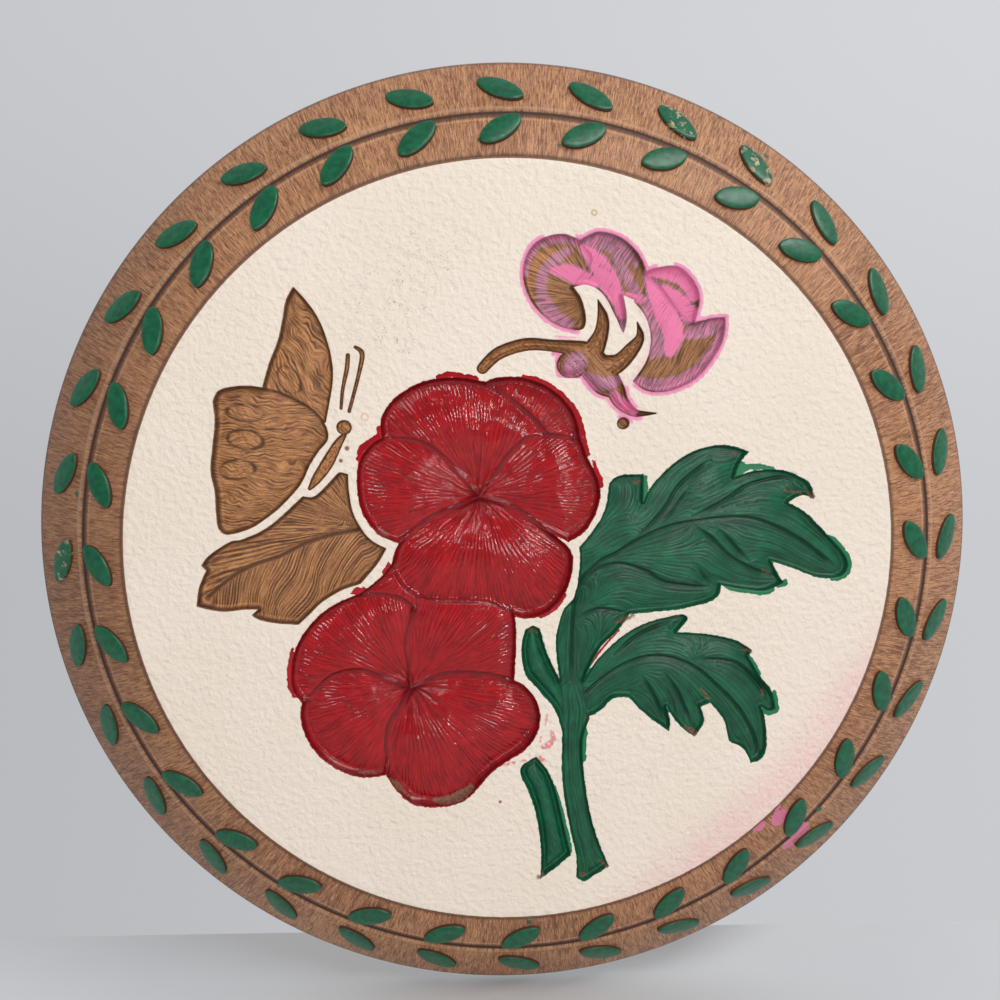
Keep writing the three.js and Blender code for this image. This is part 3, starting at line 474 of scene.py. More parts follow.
# Every form, from the one furthest behind to the one in front: name, kind of tool marks, paint, width of
# its wall, depth of its wall, rise of its dome, and the marks' centre, direction or lines
FORMS = [
    ("upperWing", "wing", "brown", 1.5, 2.1, 1.5, (0.83, 0.56)),
    ("lowerWing", "wing", "brown", 1.8, 2.2, 1.6, (0.12, 1.0)),
    ("brownLeaf", "brown_leaf", "brown", 1.6, 2.1, 1.6, None),
    ("upper backPetal", "petal", "red", 1.9, 2.3, 1.8, (-9.8, 17.8)),
    ("upper topPetal", "petal", "red", 1.9, 2.3, 2.0, (-9.8, 17.8)),
    ("upper leftPetal", "petal", "red", 1.8, 2.3, 2.0, (-9.8, 17.8)),
    ("upper rightPetal", "petal", "red", 1.9, 2.3, 2.0, (-9.8, 17.8)),
    ("lower scrapPetal", "petal", "red", 1.4, 2.0, 1.3, (-10, 10)),
    ("lower topPetal", "petal", "red", 1.8, 2.3, 2.0, (-31, -41.5)),
    ("lower rightPetal", "petal", "red", 1.6, 2.3, 2.0, (-31, -41.5)),
    ("upper lipPetal", "petal", "red", 2.3, 2.5, 2.3, (-9.8, 17.8)),
    ("lower leftPetal", "petal", "red", 2.0, 2.4, 2.1, (-31, -41.5)),
    ("lower lipPetal", "petal", "red", 2.5, 2.6, 2.4, (-31, -41.5)),
    ("sidePetal", "pink", "brown", 1.4, 1.8, 1.3, (42, 70)),
    ("skirtPetal", "bands", "brown", 1.4, 1.9, 1.4, None),
    ("topPetal", "bands", "brown", 1.5, 2.0, 1.5, None),
    ("hookPetal", "pink", "brown", 1.5, 2.0, 1.5, (25, 77)),
    ("calyx", "stem", "brown", 1.0, 1.9, 2.6, None),
    ("smallLeaf", "green_leaf", "green", 1.2, 1.8, 1.65, "small"),
    ("bud", "stem", "green", 1.4, 2.1, 1.9, None),
    ("largeLeaf", "green_leaf", "green", 1.2, 1.8, 1.7, "large"),
    ("stubStem", "stem", "green", 1.3, 2.0, 2.2, None),
    ("body", "stem", "brown", 0.9, 1.3, 1.2, None),
    ("feelers", "stem", "brown", 0.7, 1.0, 0.4, None),
]

# ---- curves and distances, millimetres ----
def spline(points, spacing):
    """Even steps along a smooth curve through the points, both ends included."""
    p = np.asarray(points, float)
    last = len(p) - 1
    at = np.linspace(0, last, last * 24 + 1)
    k = np.minimum(at.astype(int), last - 1)
    t = (at - k)[:, None]
    a, b, c, d = p[np.maximum(k - 1, 0)], p[k], p[k + 1], p[np.minimum(k + 2, last)]
    curve = 0.5 * (2 * b + (c - a) * t + (2 * a - 5 * b + 4 * c - d) * t ** 2
                   + (3 * b - a - 3 * c + d) * t ** 3)
    run = np.r_[0, np.cumsum(np.linalg.norm(np.diff(curve[:, :2], axis=0), axis=1))]
    even = np.linspace(0, run[-1], max(1, round(run[-1] / spacing)) + 1)
    return np.stack([np.interp(even, run, curve[:, i]) for i in range(curve.shape[1])], axis=1)


def closed_ring(runs, spacing):
    """A closed ring of points along an outline's runs."""
    starts = [runs[-1][-1]] + [run[-1] for run in runs[:-1]]
    return np.concatenate([spline([start] + run, spacing)[:-1] for start, run in zip(starts, runs)])


def box_of(at, points, room):
    """Which places lie in the box of the points, with room round it."""
    low, high = points[:, :2].min(0) - room, points[:, :2].max(0) + room
    return np.flatnonzero(((at > low) & (at < high)).all(1))


def depth_in_ring(at, ring):
    """Distance inside a closed ring, negative outside it, and the same with no crease along the middle."""
    a = ring.astype(np.float32)
    edge = np.roll(a, -1, axis=0) - a
    long2 = (edge ** 2).sum(1)
    long1 = np.sqrt(long2)
    sure = np.empty(len(at), np.float32)
    soft = np.empty(len(at), np.float32)
    for k in range(0, len(at), 2048):
        x = at[k:k + 2048, :1].astype(np.float32) - a[:, 0]
        y = at[k:k + 2048, 1:2].astype(np.float32) - a[:, 1]
        t = np.clip((x * edge[:, 0] + y * edge[:, 1]) / long2, 0, 1)
        gap2 = (x - t * edge[:, 0]) ** 2 + (y - t * edge[:, 1]) ** 2
        lean = edge[:, 0] / np.where(edge[:, 1] == 0, 1, edge[:, 1])
        crossed = ((y < 0) != (y < edge[:, 1])) & (x < y * lean)
        side = np.where(crossed.sum(1) % 2 == 1, 1, -1)
        sure[k:k + 2048] = side * np.sqrt(gap2.min(1))
        gap2 = np.maximum(gap2, 1e-6)
        soft[k:k + 2048] = (0.75 * (long1 / (gap2 * gap2 * np.sqrt(gap2))).sum(1)) ** -0.25
    return sure, soft


def depth_in_stroke(at, stroke, spacing=0.6):
    """Distance inside a stroke of changing width, and how far along it the nearest place is."""
    path = spline(stroke, spacing).astype(np.float32)
    a, edge, width = path[:-1, :2], np.diff(path[:, :2], axis=0), path[:, 2] / 2
    long2 = (edge ** 2).sum(1)
    run = np.r_[0, np.cumsum(np.sqrt(long2))]
    depth = np.empty(len(at), np.float32)
    along = np.empty(len(at), np.float32)
    for k in range(0, len(at), 4096):
        x = at[k:k + 4096, :1].astype(np.float32) - a[:, 0]
        y = at[k:k + 4096, 1:2].astype(np.float32) - a[:, 1]
        t = np.clip((x * edge[:, 0] + y * edge[:, 1]) / long2, 0, 1)
        gap = np.sqrt((x - t * edge[:, 0]) ** 2 + (y - t * edge[:, 1]) ** 2)
        gap = gap - (width[:-1] + t * np.diff(width))
        best = gap.argmin(1)
        row = np.arange(len(best))
        depth[k:k + 4096] = -gap[row, best]
        along[k:k + 4096] = run[best] + t[row, best] * np.sqrt(long2[best])
    return depth, along


def depth_in_strokes(at, strokes):
    """Distance inside the nearest of several strokes."""
    depth = np.full(len(at), -FAR, np.float32)
    for stroke in strokes:
        near = box_of(at, np.asarray(stroke, float), 4)
        if len(near):
            depth[near] = np.maximum(depth[near], depth_in_stroke(at[near], stroke)[0])
    return depth


# ---- the tool marks ----
FOLDS = 17                # round a flower's centre


def chance(cell, key):
    """An even spread of numbers from 0 to 1, one for each whole number."""
    return np.modf(np.abs(np.sin(cell * 12.9898 + key * 78.233)) * 43758.5453)[0]


def cloud(x, y, size, key):
    """Slow, smooth variation from -1 to 1."""
    u, v = x / size, y / size
    i, j = np.floor(u), np.floor(v)
    s, t = u - i, v - j
    s, t = s * s * (3 - 2 * s), t * t * (3 - 2 * t)
    corner = [chance(i + di + 57 * (j + dj), key) for dj in (0, 1) for di in (0, 1)]
    below = corner[0] * (1 - s) + corner[1] * s
    above = corner[2] * (1 - s) + corner[3] * s
    return 2 * (below * (1 - t) + above * t) - 1


def comb(phase, key, wrap=None):
    """Grooves, one at each whole number of the phase, each with its own strength: up to 1 at the bottom."""
    cell = np.round(phase)
    name = cell if wrap is None else np.mod(cell, wrap)
    return (0.5 + 0.5 * np.cos(2 * np.pi * (phase - cell))) ** 1.4 * (0.3 + 0.7 * chance(name, key))


def fan(x, y, centre, key, first=44):
    """Grooves that spread out from a centre and fork as they go, and the folds near the centre."""
    x, y = x - centre[0], y - centre[1]
    far = np.maximum(np.hypot(x, y), 0.5)
    turn = np.arctan2(y, x) / (2 * np.pi) + 0.5
    waver = 0.010 * cloud(x, y, 7, key) + 0.0035 * cloud(x, y, 2.2, key + 1)
    turn = turn + waver * 8 / np.maximum(far, 8)
    level = np.maximum(np.log2(far / 8), -1)
    step = np.floor(level)
    share = level - step
    count = first * 2.0 ** step
    share = share * share * (3 - 2 * share)
    marks = ((1 - share) * comb(turn * count, key, count)
             + share * comb(turn * 2 * count, key + 3, 2 * count))
    folds = comb(turn * FOLDS, key + 5, FOLDS) * np.exp(-((far - 5) / 6.5) ** 2)
    return marks, folds

# ---- the relief ----
def all_outlines():
    """Every outline by name, as its runs."""
    named = dict(BUTTERFLY_AND_LEAF)
    named.update({"upper " + name: runs for name, runs in UPPER_PANSY.items()})
    named.update({"lower " + name: runs for name, runs in LOWER_PANSY.items()})
    named.update(PINK_PANSY)
    named.update(GREENERY)
    return named


STROKED = {
    "calyx": CALYX,
    "body": [BODY] + [[[x - 0.1, y, 2 * r], [x + 0.1, y, 2 * r]] for x, y, r in ROUNDELS],
    "feelers": FEELERS,
}
OUTLINES = all_outlines()
GRID_CELL = 0.6           # of the grids that number the leaves' lines
GRID_ROUNDS = 1600        # of smoothing


def depth_in_form(at, name):
    """Distance inside a form and the softened distance, for the places in its box."""
    if name in STROKED:
        near = box_of(at, np.concatenate([np.asarray(s, float) for s in STROKED[name]]), 6)
        sure = depth_in_strokes(at[near], STROKED[name])
        return near, sure, np.maximum(sure, 0)
    ring = closed_ring(OUTLINES[name], 0.5)
    near = box_of(at, ring, 3)
    sure, soft = depth_in_ring(at[near], ring)
    return near, sure, soft


def even_numbers(lines):
    """A grid whose numbers grow evenly from one line of a leaf to the next, and its lowest corner."""
    paths = [(number, spline(points, 0.3)) for number, vein, points in lines]
    low = np.min([path.min(0) for number, path in paths], axis=0) - 5
    high = np.max([path.max(0) for number, path in paths], axis=0) + 5
    size = ((high - low) / GRID_CELL).astype(int) + 2
    fixed = np.zeros(size)
    held = np.zeros(size, bool)
    for number, path in paths:
        i, j = np.round((path - low) / GRID_CELL).astype(int).T
        fixed[i, j], held[i, j] = number, True
    grid = fixed.copy()
    for step in range(GRID_ROUNDS):
        wide = np.pad(grid, 1, mode="edge")
        grid = (wide[2:, 1:-1] + wide[:-2, 1:-1] + wide[1:-1, 2:] + wide[1:-1, :-2]) / 4
        grid[held] = fixed[held]
    return grid, low


def in_grid(grid, low, at):
    """The grid's number at each place, smooth between its points."""
    u = (at - low) / GRID_CELL
    i = np.clip(u.astype(int), 0, np.array(grid.shape) - 2)
    s, t = np.clip(u - i, 0, 1).T
    i, j = i.T
    return ((grid[i, j] * (1 - s) + grid[i + 1, j] * s) * (1 - t)
            + (grid[i, j + 1] * (1 - s) + grid[i + 1, j + 1] * s) * t)


LEAF_GRIDS = {which: even_numbers(lines) for which, lines in LEAF_LINES.items()}


def strands(at, which, key):
    """Fine lines that run with the leaf's veins and fork where they spread, and the number they follow."""
    grid, low = LEAF_GRIDS[which]
    climb = np.hypot(*np.gradient(grid, GRID_CELL))
    number = in_grid(grid, low, at) + 0.22 * cloud(at[:, 0], at[:, 1], 5, key)
    climb = in_grid(climb, low, at)
    level = np.clip(-np.log2(np.maximum(climb, 0.01) * 1.15), -4, 3)
    step = np.floor(level)
    share = level - step
    share = share * share * (3 - 2 * share)
    fine = ((1 - share) * comb(number * 2.0 ** step, key)
            + share * comb(number * 2.0 ** (step + 1), key + 3))
    return fine ** 1.5 * np.clip((climb - 0.03) / 0.1, 0, 1) * np.clip((9 - climb) / 4, 0, 1), number


def veins(at, lines):
    """How deep the leaf's veins cut, and the folds below them."""
    cut = np.zeros(len(at))
    fold = np.zeros(len(at))
    for number, vein, points in lines:
        if not vein:
            continue
        path = spline(points, 1.2)
        run = np.linspace(0, 1, len(path))
        gap, along = depth_in_stroke(at, [[x, y, 0] for x, y in points], 1.2)
        gap = np.maximum(-gap, 0.02)
        length = along.max()
        fade = np.clip(np.minimum(along / 7 + 0.25, (length - along) / 5 + 0.15), 0, 1)
        share = along / length
        ahead = np.stack([np.interp(share, run, path[:, k]) for k in (0, 1)], axis=1)
        way = np.stack([np.interp(share, run, np.gradient(path[:, k])) for k in (0, 1)], axis=1)
        side = way[:, 0] * (at[:, 1] - ahead[:, 1]) - way[:, 1] * (at[:, 0] - ahead[:, 0])
        below = np.where(side < 0, np.exp(-gap / 2.8), np.exp(-(gap / 0.6) ** 2))
        cut = np.maximum(cut, fade * np.exp(-(gap / 0.5) ** 2))
        fold = np.maximum(fold, fade * below)
    return cut, fold


def track(across, side, along):
    """A place to hang fine hairlines on: even along the tool marks and quick across them."""
    return np.stack([across, side + 0 * across, along * 0.08], axis=1)


def fan_track(x, y, centre):
    """The same for marks that spread from a centre."""
    x, y = x - centre[0], y - centre[1]
    far = np.maximum(np.hypot(x, y), 0.5)
    return track(22 * x / far, 22 * y / far, far)


def marks_on(kind, x, y, sure, room, detail, key):
    """Tool marks inside one form: how far they cut, how deep each place sits in a groove, 0 to 1, and
    the place that its hairlines hang on. They stop short of a form that lies on top."""
    if kind == "petal":
        fine, folds = fan(x, y, detail, key)
        fade = np.clip((np.minimum(sure, 0.9 + 2.0 * room) - 1.0) / 2.0, 0, 1)
        fade = fade * (0.6 + 0.4 * np.clip((cloud(x, y, 9, key + 9) + 0.7), 0, 1))
        fade = fade * (0.8 + 0.2 * cloud(x, y, 1.1, key + 11))
        uneven = 0.10 * cloud(x, y, 3.4, key + 13) + 0.035 * cloud(x, y, 1.5, key + 14)
        cup = 1.3 * np.exp(-((x - detail[0]) ** 2 + (y - detail[1]) ** 2) / 290)
        cut = 0.34 * fine * fade + 0.6 * folds * np.clip(sure / 2, 0, 1)
        cut = cut + uneven * np.clip(sure / 3, 0, 1) + cup * np.clip(sure / 4, 0, 1)
        return cut, np.maximum(fine * fade, 0.7 * folds), fan_track(x, y, detail)
    if kind == "pink":
        fine = fan(x, y, detail, key, first=46)[0]
        fine = fine * np.clip((sure - 0.8) / 1.5, 0, 1) * (0.55 + 0.45 * cloud(x, y, 3, key + 2))
        return 0.26 * fine, fine, fan_track(x, y, detail)
    if kind == "bands":
        wave = x * 0.86 - y * 0.5 + 0.9 * cloud(x, y, 8, key) + 0.3 * cloud(x, y, 2, key + 1)
        fine = comb(wave, key) * np.clip((sure - 0.8) / 1.5, 0, 1)
        fine = fine * (0.7 + 0.3 * cloud(x, y, 2.5, key + 2))
        return 0.28 * fine, fine, track(wave, 0, x * 0.5 + y * 0.86)
    if kind == "wing":
        across = x * detail[0] + y * detail[1] + 1.5 * cloud(x, y, 5, key) + 0.55 * cloud(x, y, 2, key + 1)
        fine = comb(across, key) * np.clip(0.7 + 0.45 * cloud(x, y, 2.5, key + 4), 0.1, 1)
        ovals = np.zeros(len(x))
        for ox, oy, half, high, turn in WING_RINGS:
            c, s = math.cos(math.radians(turn)), math.sin(math.radians(turn))
            u, v = ((x - ox) * c + (y - oy) * s) / half, ((y - oy) * c - (x - ox) * s) / high
            out = (np.hypot(u, v) - 1) * min(half, high)
            ovals = np.maximum(ovals, np.exp(-(out / 0.4) ** 2))
            fine = np.where(out < -0.3, 0.35 * comb(u * 3.1 + v, key + 7), fine)
        fine = fine * np.clip((sure - 0.6) / 1.2, 0, 1)
        ovals = ovals * (0.6 + 0.4 * cloud(x, y, 2.2, key + 5))
        bumpy = 0.16 * cloud(x * 0.6 + y * 0.3, y - 0.3 * x, 1.6, key + 6) * np.clip(sure / 1.5, 0, 1)
        return (0.34 * fine + 0.45 * ovals + bumpy, np.maximum(fine * 0.9, ovals),
                track(across, 0, x * detail[1] - y * detail[0]))
    if kind == "brown_leaf":
        rib = spline(BROWN_MIDRIB, 0.5)
        at = np.stack([x, y], axis=1)
        gap, along = depth_in_stroke(at, [[px, py, 0] for px, py in BROWN_MIDRIB])
        gap = -gap
        above = y > np.interp(x, rib[::-1, 0], rib[::-1, 1])
        over = np.arctan2(y - BROWN_FAN[1], x - BROWN_FAN[0])
        over = np.where(over < 0, over + 2 * np.pi, over)
        upper = comb(over * 26 + 0.4 * cloud(x, y, 6, key), key)
        slant = along - 1.15 * gap + 0.5 * cloud(x, y, 6, key)
        lower = comb(slant / 1.35, key + 2)
        hang = np.where(above[:, None], fan_track(x, y, BROWN_FAN), track(slant * 0.8, 60, gap))
        fine = np.where(above, upper, lower) * np.clip((sure - 0.8) / 1.2, 0, 1) * np.clip(gap / 1.2, 0, 1)
        middle = np.exp(-(gap / 0.75) ** 2)
        return 0.34 * fine + 0.5 * middle, np.maximum(fine, 0.8 * middle), hang
    if kind == "green_leaf":
        at = np.stack([x, y], axis=1)
        vein, fold = veins(at, LEAF_LINES[detail])
        lines, number = strands(at, detail, key)
        lines = lines * np.clip((sure - 0.6) / 1.2, 0, 1) * (1 - vein)
        swell = 0.2 * cloud(x, y, 8, key + 2) * np.clip(sure / 3, 0, 1)
        return (0.35 * vein + 0.7 * fold + 0.2 * lines + swell - 0.05,
                np.maximum(vein, 0.75 * lines + 0.5 * fold), track(number * 0.6, 0, (x + y) * 0.6))
    # what is left is stems
    fine = comb((sure + 0.25 * cloud(x, y, 5, key)) / 0.95, key) * np.clip(sure / 1.5, 0, 1)
    return 0.07 * fine, 0.2 * fine, track(sure * 0.8 + 0.8 * cloud(x, y, 3, key + 5), 0, (x + y) * 4)


def relief_at(at):
    """At places in the plane of the face: its height over the field, how far inside each paint it is, how
    deep in a groove and how high on a wall it is, 0 to 1, and the place that its hairlines hang on."""
    count = len(at)
    height = np.zeros(count)
    cover = {name: np.full(count, -FAR) for name in ("red", "green", "brown")}
    groove = np.zeros(count)
    wall = np.zeros(count)
    hang = np.zeros((count, 3))
    found = [depth_in_form(at, form[0]) for form in FORMS]
    gap = np.full(count, 9.0)      # from each place to the forms that lie on top of the next one
    rooms = []
    for near, sure, soft in reversed(found):
        rooms.append(gap[near])
        if len(near):
            gap[near] = np.minimum(gap[near], -sure)
    for key, (name, kind, paint, wide, deep, rise, detail) in enumerate(FORMS, 1):
        near, sure, soft = found[key - 1]
        room = rooms[-key]
        if not len(near):
            continue
        x, y = at[near, 0], at[near, 1]
        sure = sure + 0.10 * cloud(x, y, 3.1, key) * np.clip(sure / 1.5, 0, 1)
        cover[paint][near] = np.maximum(cover[paint][near], sure)
        inner = np.flatnonzero(sure > 0)
        if not len(inner):
            continue
        put, x, y, sure, soft, room = (v[inner] for v in (near, x, y, sure, soft, room))
        cut, seen, hang[put] = marks_on(kind, x, y, sure, room, detail, key)
        way = np.clip(sure / wide, 0, 1)
        way = way * (2 - way)
        reach = STEM_REACH if kind == "stem" else DOME_REACH
        dome = rise * (1 - np.exp(-np.maximum(soft - wide, 0) / reach))
        own = np.minimum(-deep + dome - cut, -0.05)
        height[put] = height[put] * (1 - way) + own * way
        foot = (0.4 if kind == "petal" else 0) * np.exp(-((sure - wide) / 0.45) ** 2)
        groove[put] = groove[put] * (1 - way) + np.maximum(seen, foot) * way
        steep = np.clip(1 - sure / wide, 0, 1)
        wall[put] = np.maximum(wall[put] * (1 - way), np.minimum(steep, np.clip(sure / 0.12, 0, 1)))
        for other in cover:
            if other != paint:
                cover[other][put] = np.minimum(cover[other][put], -sure)
    return height, cover, groove, wall, hang

# ---- the blocks of the field ----
RIM_STEP = 0.9            # along the field's edge
SAME_PLACE = 0.12         # places nearer than this would make slivers
LIP_RINGS = (0.12, 0.3, 0.5, 0.75, 1.2)       # rows of places this far in from the field's edge
LIP_COUNT = 820           # places in each of those


def border(start, end):
    """The points of one border of a block, from its first corner to its last."""
    if start in ON_RIM and end in ON_RIM:
        a, b = (math.atan2(ON_RIM[k][1], ON_RIM[k][0]) for k in (start, end))
        if b < a:
            b += 2 * math.pi
        turn = np.linspace(a, b, max(2, round((b - a) * FIELD_RADIUS / RIM_STEP)) + 1)
        return FIELD_RADIUS * np.stack([np.cos(turn), np.sin(turn)], axis=1)
    if start + end not in SEAMS:
        return border(end, start)[::-1]
    ends = [ON_RIM.get(k) or MEETS[k] for k in (start, end)]
    return spline([ends[0]] + SEAMS[start + end] + [ends[1]], FINE)


class Map:
    """A grid of yes and no over the field."""
    def __init__(self, cell):
        self.cell = cell
        self.count = int(240 / cell) + 3
        self.filled = np.zeros((self.count, self.count), bool)

    def index(self, at):
        return np.clip(((at + 120) / self.cell).astype(int) + 1, 1, self.count - 2)

    def mark(self, at):
        i = self.index(at)
        for dx in (-1, 0, 1):
            for dy in (-1, 0, 1):
                self.filled[i[:, 0] + dx, i[:, 1] + dy] = True

    def holds(self, at):
        i = self.index(at)
        return self.filled[i[:, 0], i[:, 1]]


def lattice(spacing):
    """Rows of evenly spaced places over the field, every second row shifted."""
    rows = np.arange(-120, 120, spacing * math.sqrt(0.75))
    x, y = np.meshgrid(np.arange(-120, 120, spacing), rows)
    x = x + spacing / 2 * (np.arange(len(rows)) % 2)[:, None]
    at = np.stack([x.ravel(), y.ravel()], axis=1)
    return at[np.hypot(at[:, 0], at[:, 1]) < FIELD_RADIUS - 1.6]


def near_the_carving():
    """Where the mesh has to be fine: a grid of yes and no."""
    grid = Map(1.0)
    at = lattice(0.9)
    for name in OUTLINES:
        ring = closed_ring(OUTLINES[name], 1.0)
        near = box_of(at, ring, MARGIN)
        grid.mark(at[near][depth_in_ring(at[near], ring)[0] > -(MARGIN - 0.9)])
    for strokes in (CALYX, FEELERS, STROKED["body"], RED_RUNS, RED_SMEARS, GREEN_RUNS, PINK_RUNS):
        grid.mark(at[depth_in_strokes(at, strokes) > -0.7])
    return grid


def mesh_places(ring, fine_zone, outline_points):
    """The places of a block's top: its border first, then the outlines, the fine and the coarse lattice."""
    taken = Map(SAME_PLACE)
    taken.mark(ring)
    parts = [ring]
    lines = outline_points[~taken.holds(outline_points)]
    taken.mark(lines)
    fine = lattice(FINE)
    fine = fine[fine_zone.holds(fine)]
    fine = fine[~taken.holds(fine)]
    coarse = lattice(COARSE)
    coarse = coarse[~fine_zone.holds(coarse)]
    turn = np.linspace(0, 2 * math.pi, LIP_COUNT, endpoint=False)
    rings = [(FIELD_RADIUS - inside) * np.stack([np.cos(turn), np.sin(turn)], axis=1)
             for inside in LIP_RINGS]
    close = Map(0.5)
    close.mark(ring)
    for part in [lines, fine] + [p[~close.holds(p)] for p in rings + [coarse]]:
        near = part[(part > ring.min(0)).all(1) & (part < ring.max(0)).all(1)]
        parts.append(near[depth_in_ring(near, ring[::3])[0] > 0])
    return np.concatenate(parts)


def triangles(places, border_count):
    """Triangles between the places, inside the ring that the first of them make."""
    ring = list(range(border_count))
    made = delaunay_2d_cdt([Vector(p) for p in places], [], [ring], 1, 1e-6, False)
    at, faces = np.array([tuple(v) for v in made[0]]), np.array(made[2])
    doubtful = np.flatnonzero((faces < border_count).all(1))
    outside = depth_in_ring(at[faces[doubtful]].mean(1), places[:border_count])[0] < 0
    return at, np.delete(faces, doubtful[outside], axis=0)


def spilled(cover, runs):
    """The cover of a paint that ran a little way over its edge wherever there is a run."""
    return np.maximum(cover, np.maximum(np.minimum(cover + 1.15, runs + 0.45), runs - 0.2))


def store(mesh, name, values):
    """Puts a number or a place at each vertex, for the paint to read."""
    values = np.asarray(values, np.float32)
    kind, field = ("FLOAT", "value") if values.ndim == 1 else ("FLOAT_VECTOR", "vector")
    mesh.attributes.new(name, kind, "POINT").data.foreach_set(field, values.ravel())


def store_paint(mesh, at, cover, count):
    """Stores how far inside each paint the top's places are; the underside has none."""
    depths = {
        "red": spilled(cover["red"], depth_in_strokes(at, RED_RUNS)),
        "green": spilled(cover["green"], depth_in_strokes(at, GREEN_RUNS)),
        "brown": cover["brown"],
        "smear": depth_in_strokes(at, RED_SMEARS),
        "bare": depth_in_strokes(at, BARE_RED + BARE_GREEN),
    }
    for name, depth in depths.items():
        store(mesh, name, np.r_[np.clip(depth, -FAR, FAR), np.full(count, -FAR)])
    pink = np.zeros(len(at))
    for share, soft, stroke in PINK_STROKES:
        near = box_of(at, np.asarray(stroke), 8)
        if len(near):
            amount = share * np.clip(0.5 + depth_in_stroke(at[near], stroke)[0] / soft, 0, 1)
            pink[near] = np.maximum(pink[near], amount)
    shares = {
        "pink": pink,
        "halo": np.clip((depth_in_strokes(at, PINK_RUNS) + 2.0) / 1.6, 0, 1),
        "haze": np.clip(0.5 + depth_in_strokes(at, PINK_HAZE) / 1.6, 0, 1),
    }
    for name, share in shares.items():
        store(mesh, name, np.r_[share, np.zeros(count)])


def block_object(name, ring, fine_zone, outline_points):
    """One block of the field: a carved top, straight sides and a flat underside."""
    places = mesh_places(ring, fine_zone, outline_points)
    count = len(ring)
    at, faces = triangles(places, count)
    used = np.unique(faces)
    assert (used[:count] == np.arange(count)).all(), name
    renumber = np.full(len(at), -1)
    renumber[used] = np.arange(len(used))
    at, faces = at[used], renumber[faces]
    at[:count] = ring
    height, cover, groove, wall, hang = relief_at(at)
    far = np.hypot(at[:, 0], at[:, 1])
    round_off = np.clip((far - (FIELD_RADIUS - LIP_ROUND)) / LIP_ROUND, 0, 1)
    height = height - 0.45 * (1 - np.sqrt(1 - 0.95 * round_off ** 2))
    top = len(at)
    x = np.r_[at[:, 0], ring[:, 0]]
    y = np.r_[at[:, 1], ring[:, 1]]
    w = np.r_[height, np.full(count, -FIELD_DEPTH)]
    under = triangles(ring, count)[1][:, ::-1] + top
    i = np.arange(count)
    j = (i + 1) % count
    sides = np.stack([i, top + i, top + j, j], axis=1)
    mesh = bpy.data.meshes.new(name)
    points = np.stack([x, -(THICKNESS + w), y], axis=1) * MM
    mesh.from_pydata(points.tolist(), [], faces.tolist() + sides.tolist() + under.tolist())
    flat = np.zeros(len(mesh.polygons), bool)
    flat[len(faces):] = True
    mesh.polygons.foreach_set("use_smooth", ~flat)
    store(mesh, "groove", np.r_[groove, np.zeros(count)])
    store(mesh, "wall", np.r_[wall, np.zeros(count)])
    store(mesh, "hang", np.r_[hang, np.zeros((count, 3))])
    store_paint(mesh, at, cover, count)
    ends = np.empty(len(mesh.edges) * 2, int)
    mesh.edges.foreach_get("vertices", ends)
    ends = ends.reshape(-1, 2)
    apart = np.abs(ends[:, 0] - ends[:, 1])
    rim = (ends < count).all(1) & ((apart == 1) | (apart == count - 1))
    mesh.attributes.new("sharp_edge", "BOOLEAN", "EDGE").data.foreach_set("value", rim)
    mesh.update()
    piece = bpy.data.objects.new(name, mesh)
    bpy.context.collection.objects.link(piece)
    return piece

# ---- paint and wood ----
def tint(red, green, blue):
    """A colour given as 0 to 255 on screen, as light."""
    light = [((c / 255 + 0.055) / 1.055) ** 2.4 if c > 10 else c / 3294.6 for c in (red, green, blue)]
    return (*light, 1.0)


class Term:
    """A socket that can stand in a sum."""
    def __init__(self, coat, socket):
        self.coat, self.socket = coat, socket

    def math(self, operation, first, second):
        return self.coat.node("ShaderNodeMath", {"operation": operation}, {0: first, 1: second})[0]

    def __add__(self, other):
        return self.math("ADD", self, other)

    __radd__ = __add__

    def __sub__(self, other):
        return self.math("SUBTRACT", self, other)

    def __rsub__(self, other):
        return self.math("SUBTRACT", other, self)

    def __mul__(self, other):
        return self.math("MULTIPLY", self, other)

    __rmul__ = __mul__

    def __truediv__(self, other):
        return self.math("DIVIDE", self, other)

    def __pow__(self, other):
        return self.math("POWER", self, other)

    def over(self, low, high):
        """0 below low, 1 above high and smooth between them."""
        return self.coat.node("ShaderNodeMapRange", {"interpolation_type": "SMOOTHSTEP"},
                              {"Value": self, "From Min": low, "From Max": high})["Result"]

    def under(self, low, high):
        """1 below low, 0 above high and smooth between them."""
        return 1 - self.over(low, high)

    def near(self, centre, half):
        """1 at the centre, 0 at half a width from it and negative further away."""
        gap = self - centre
        return 1 - (gap * gap) ** 0.5 / half


class Made:
    """A node whose outputs are terms."""
    def __init__(self, coat, node):
        self.coat, self.made = coat, node

    def __getitem__(self, name):
        return Term(self.coat, self.made.outputs[name])


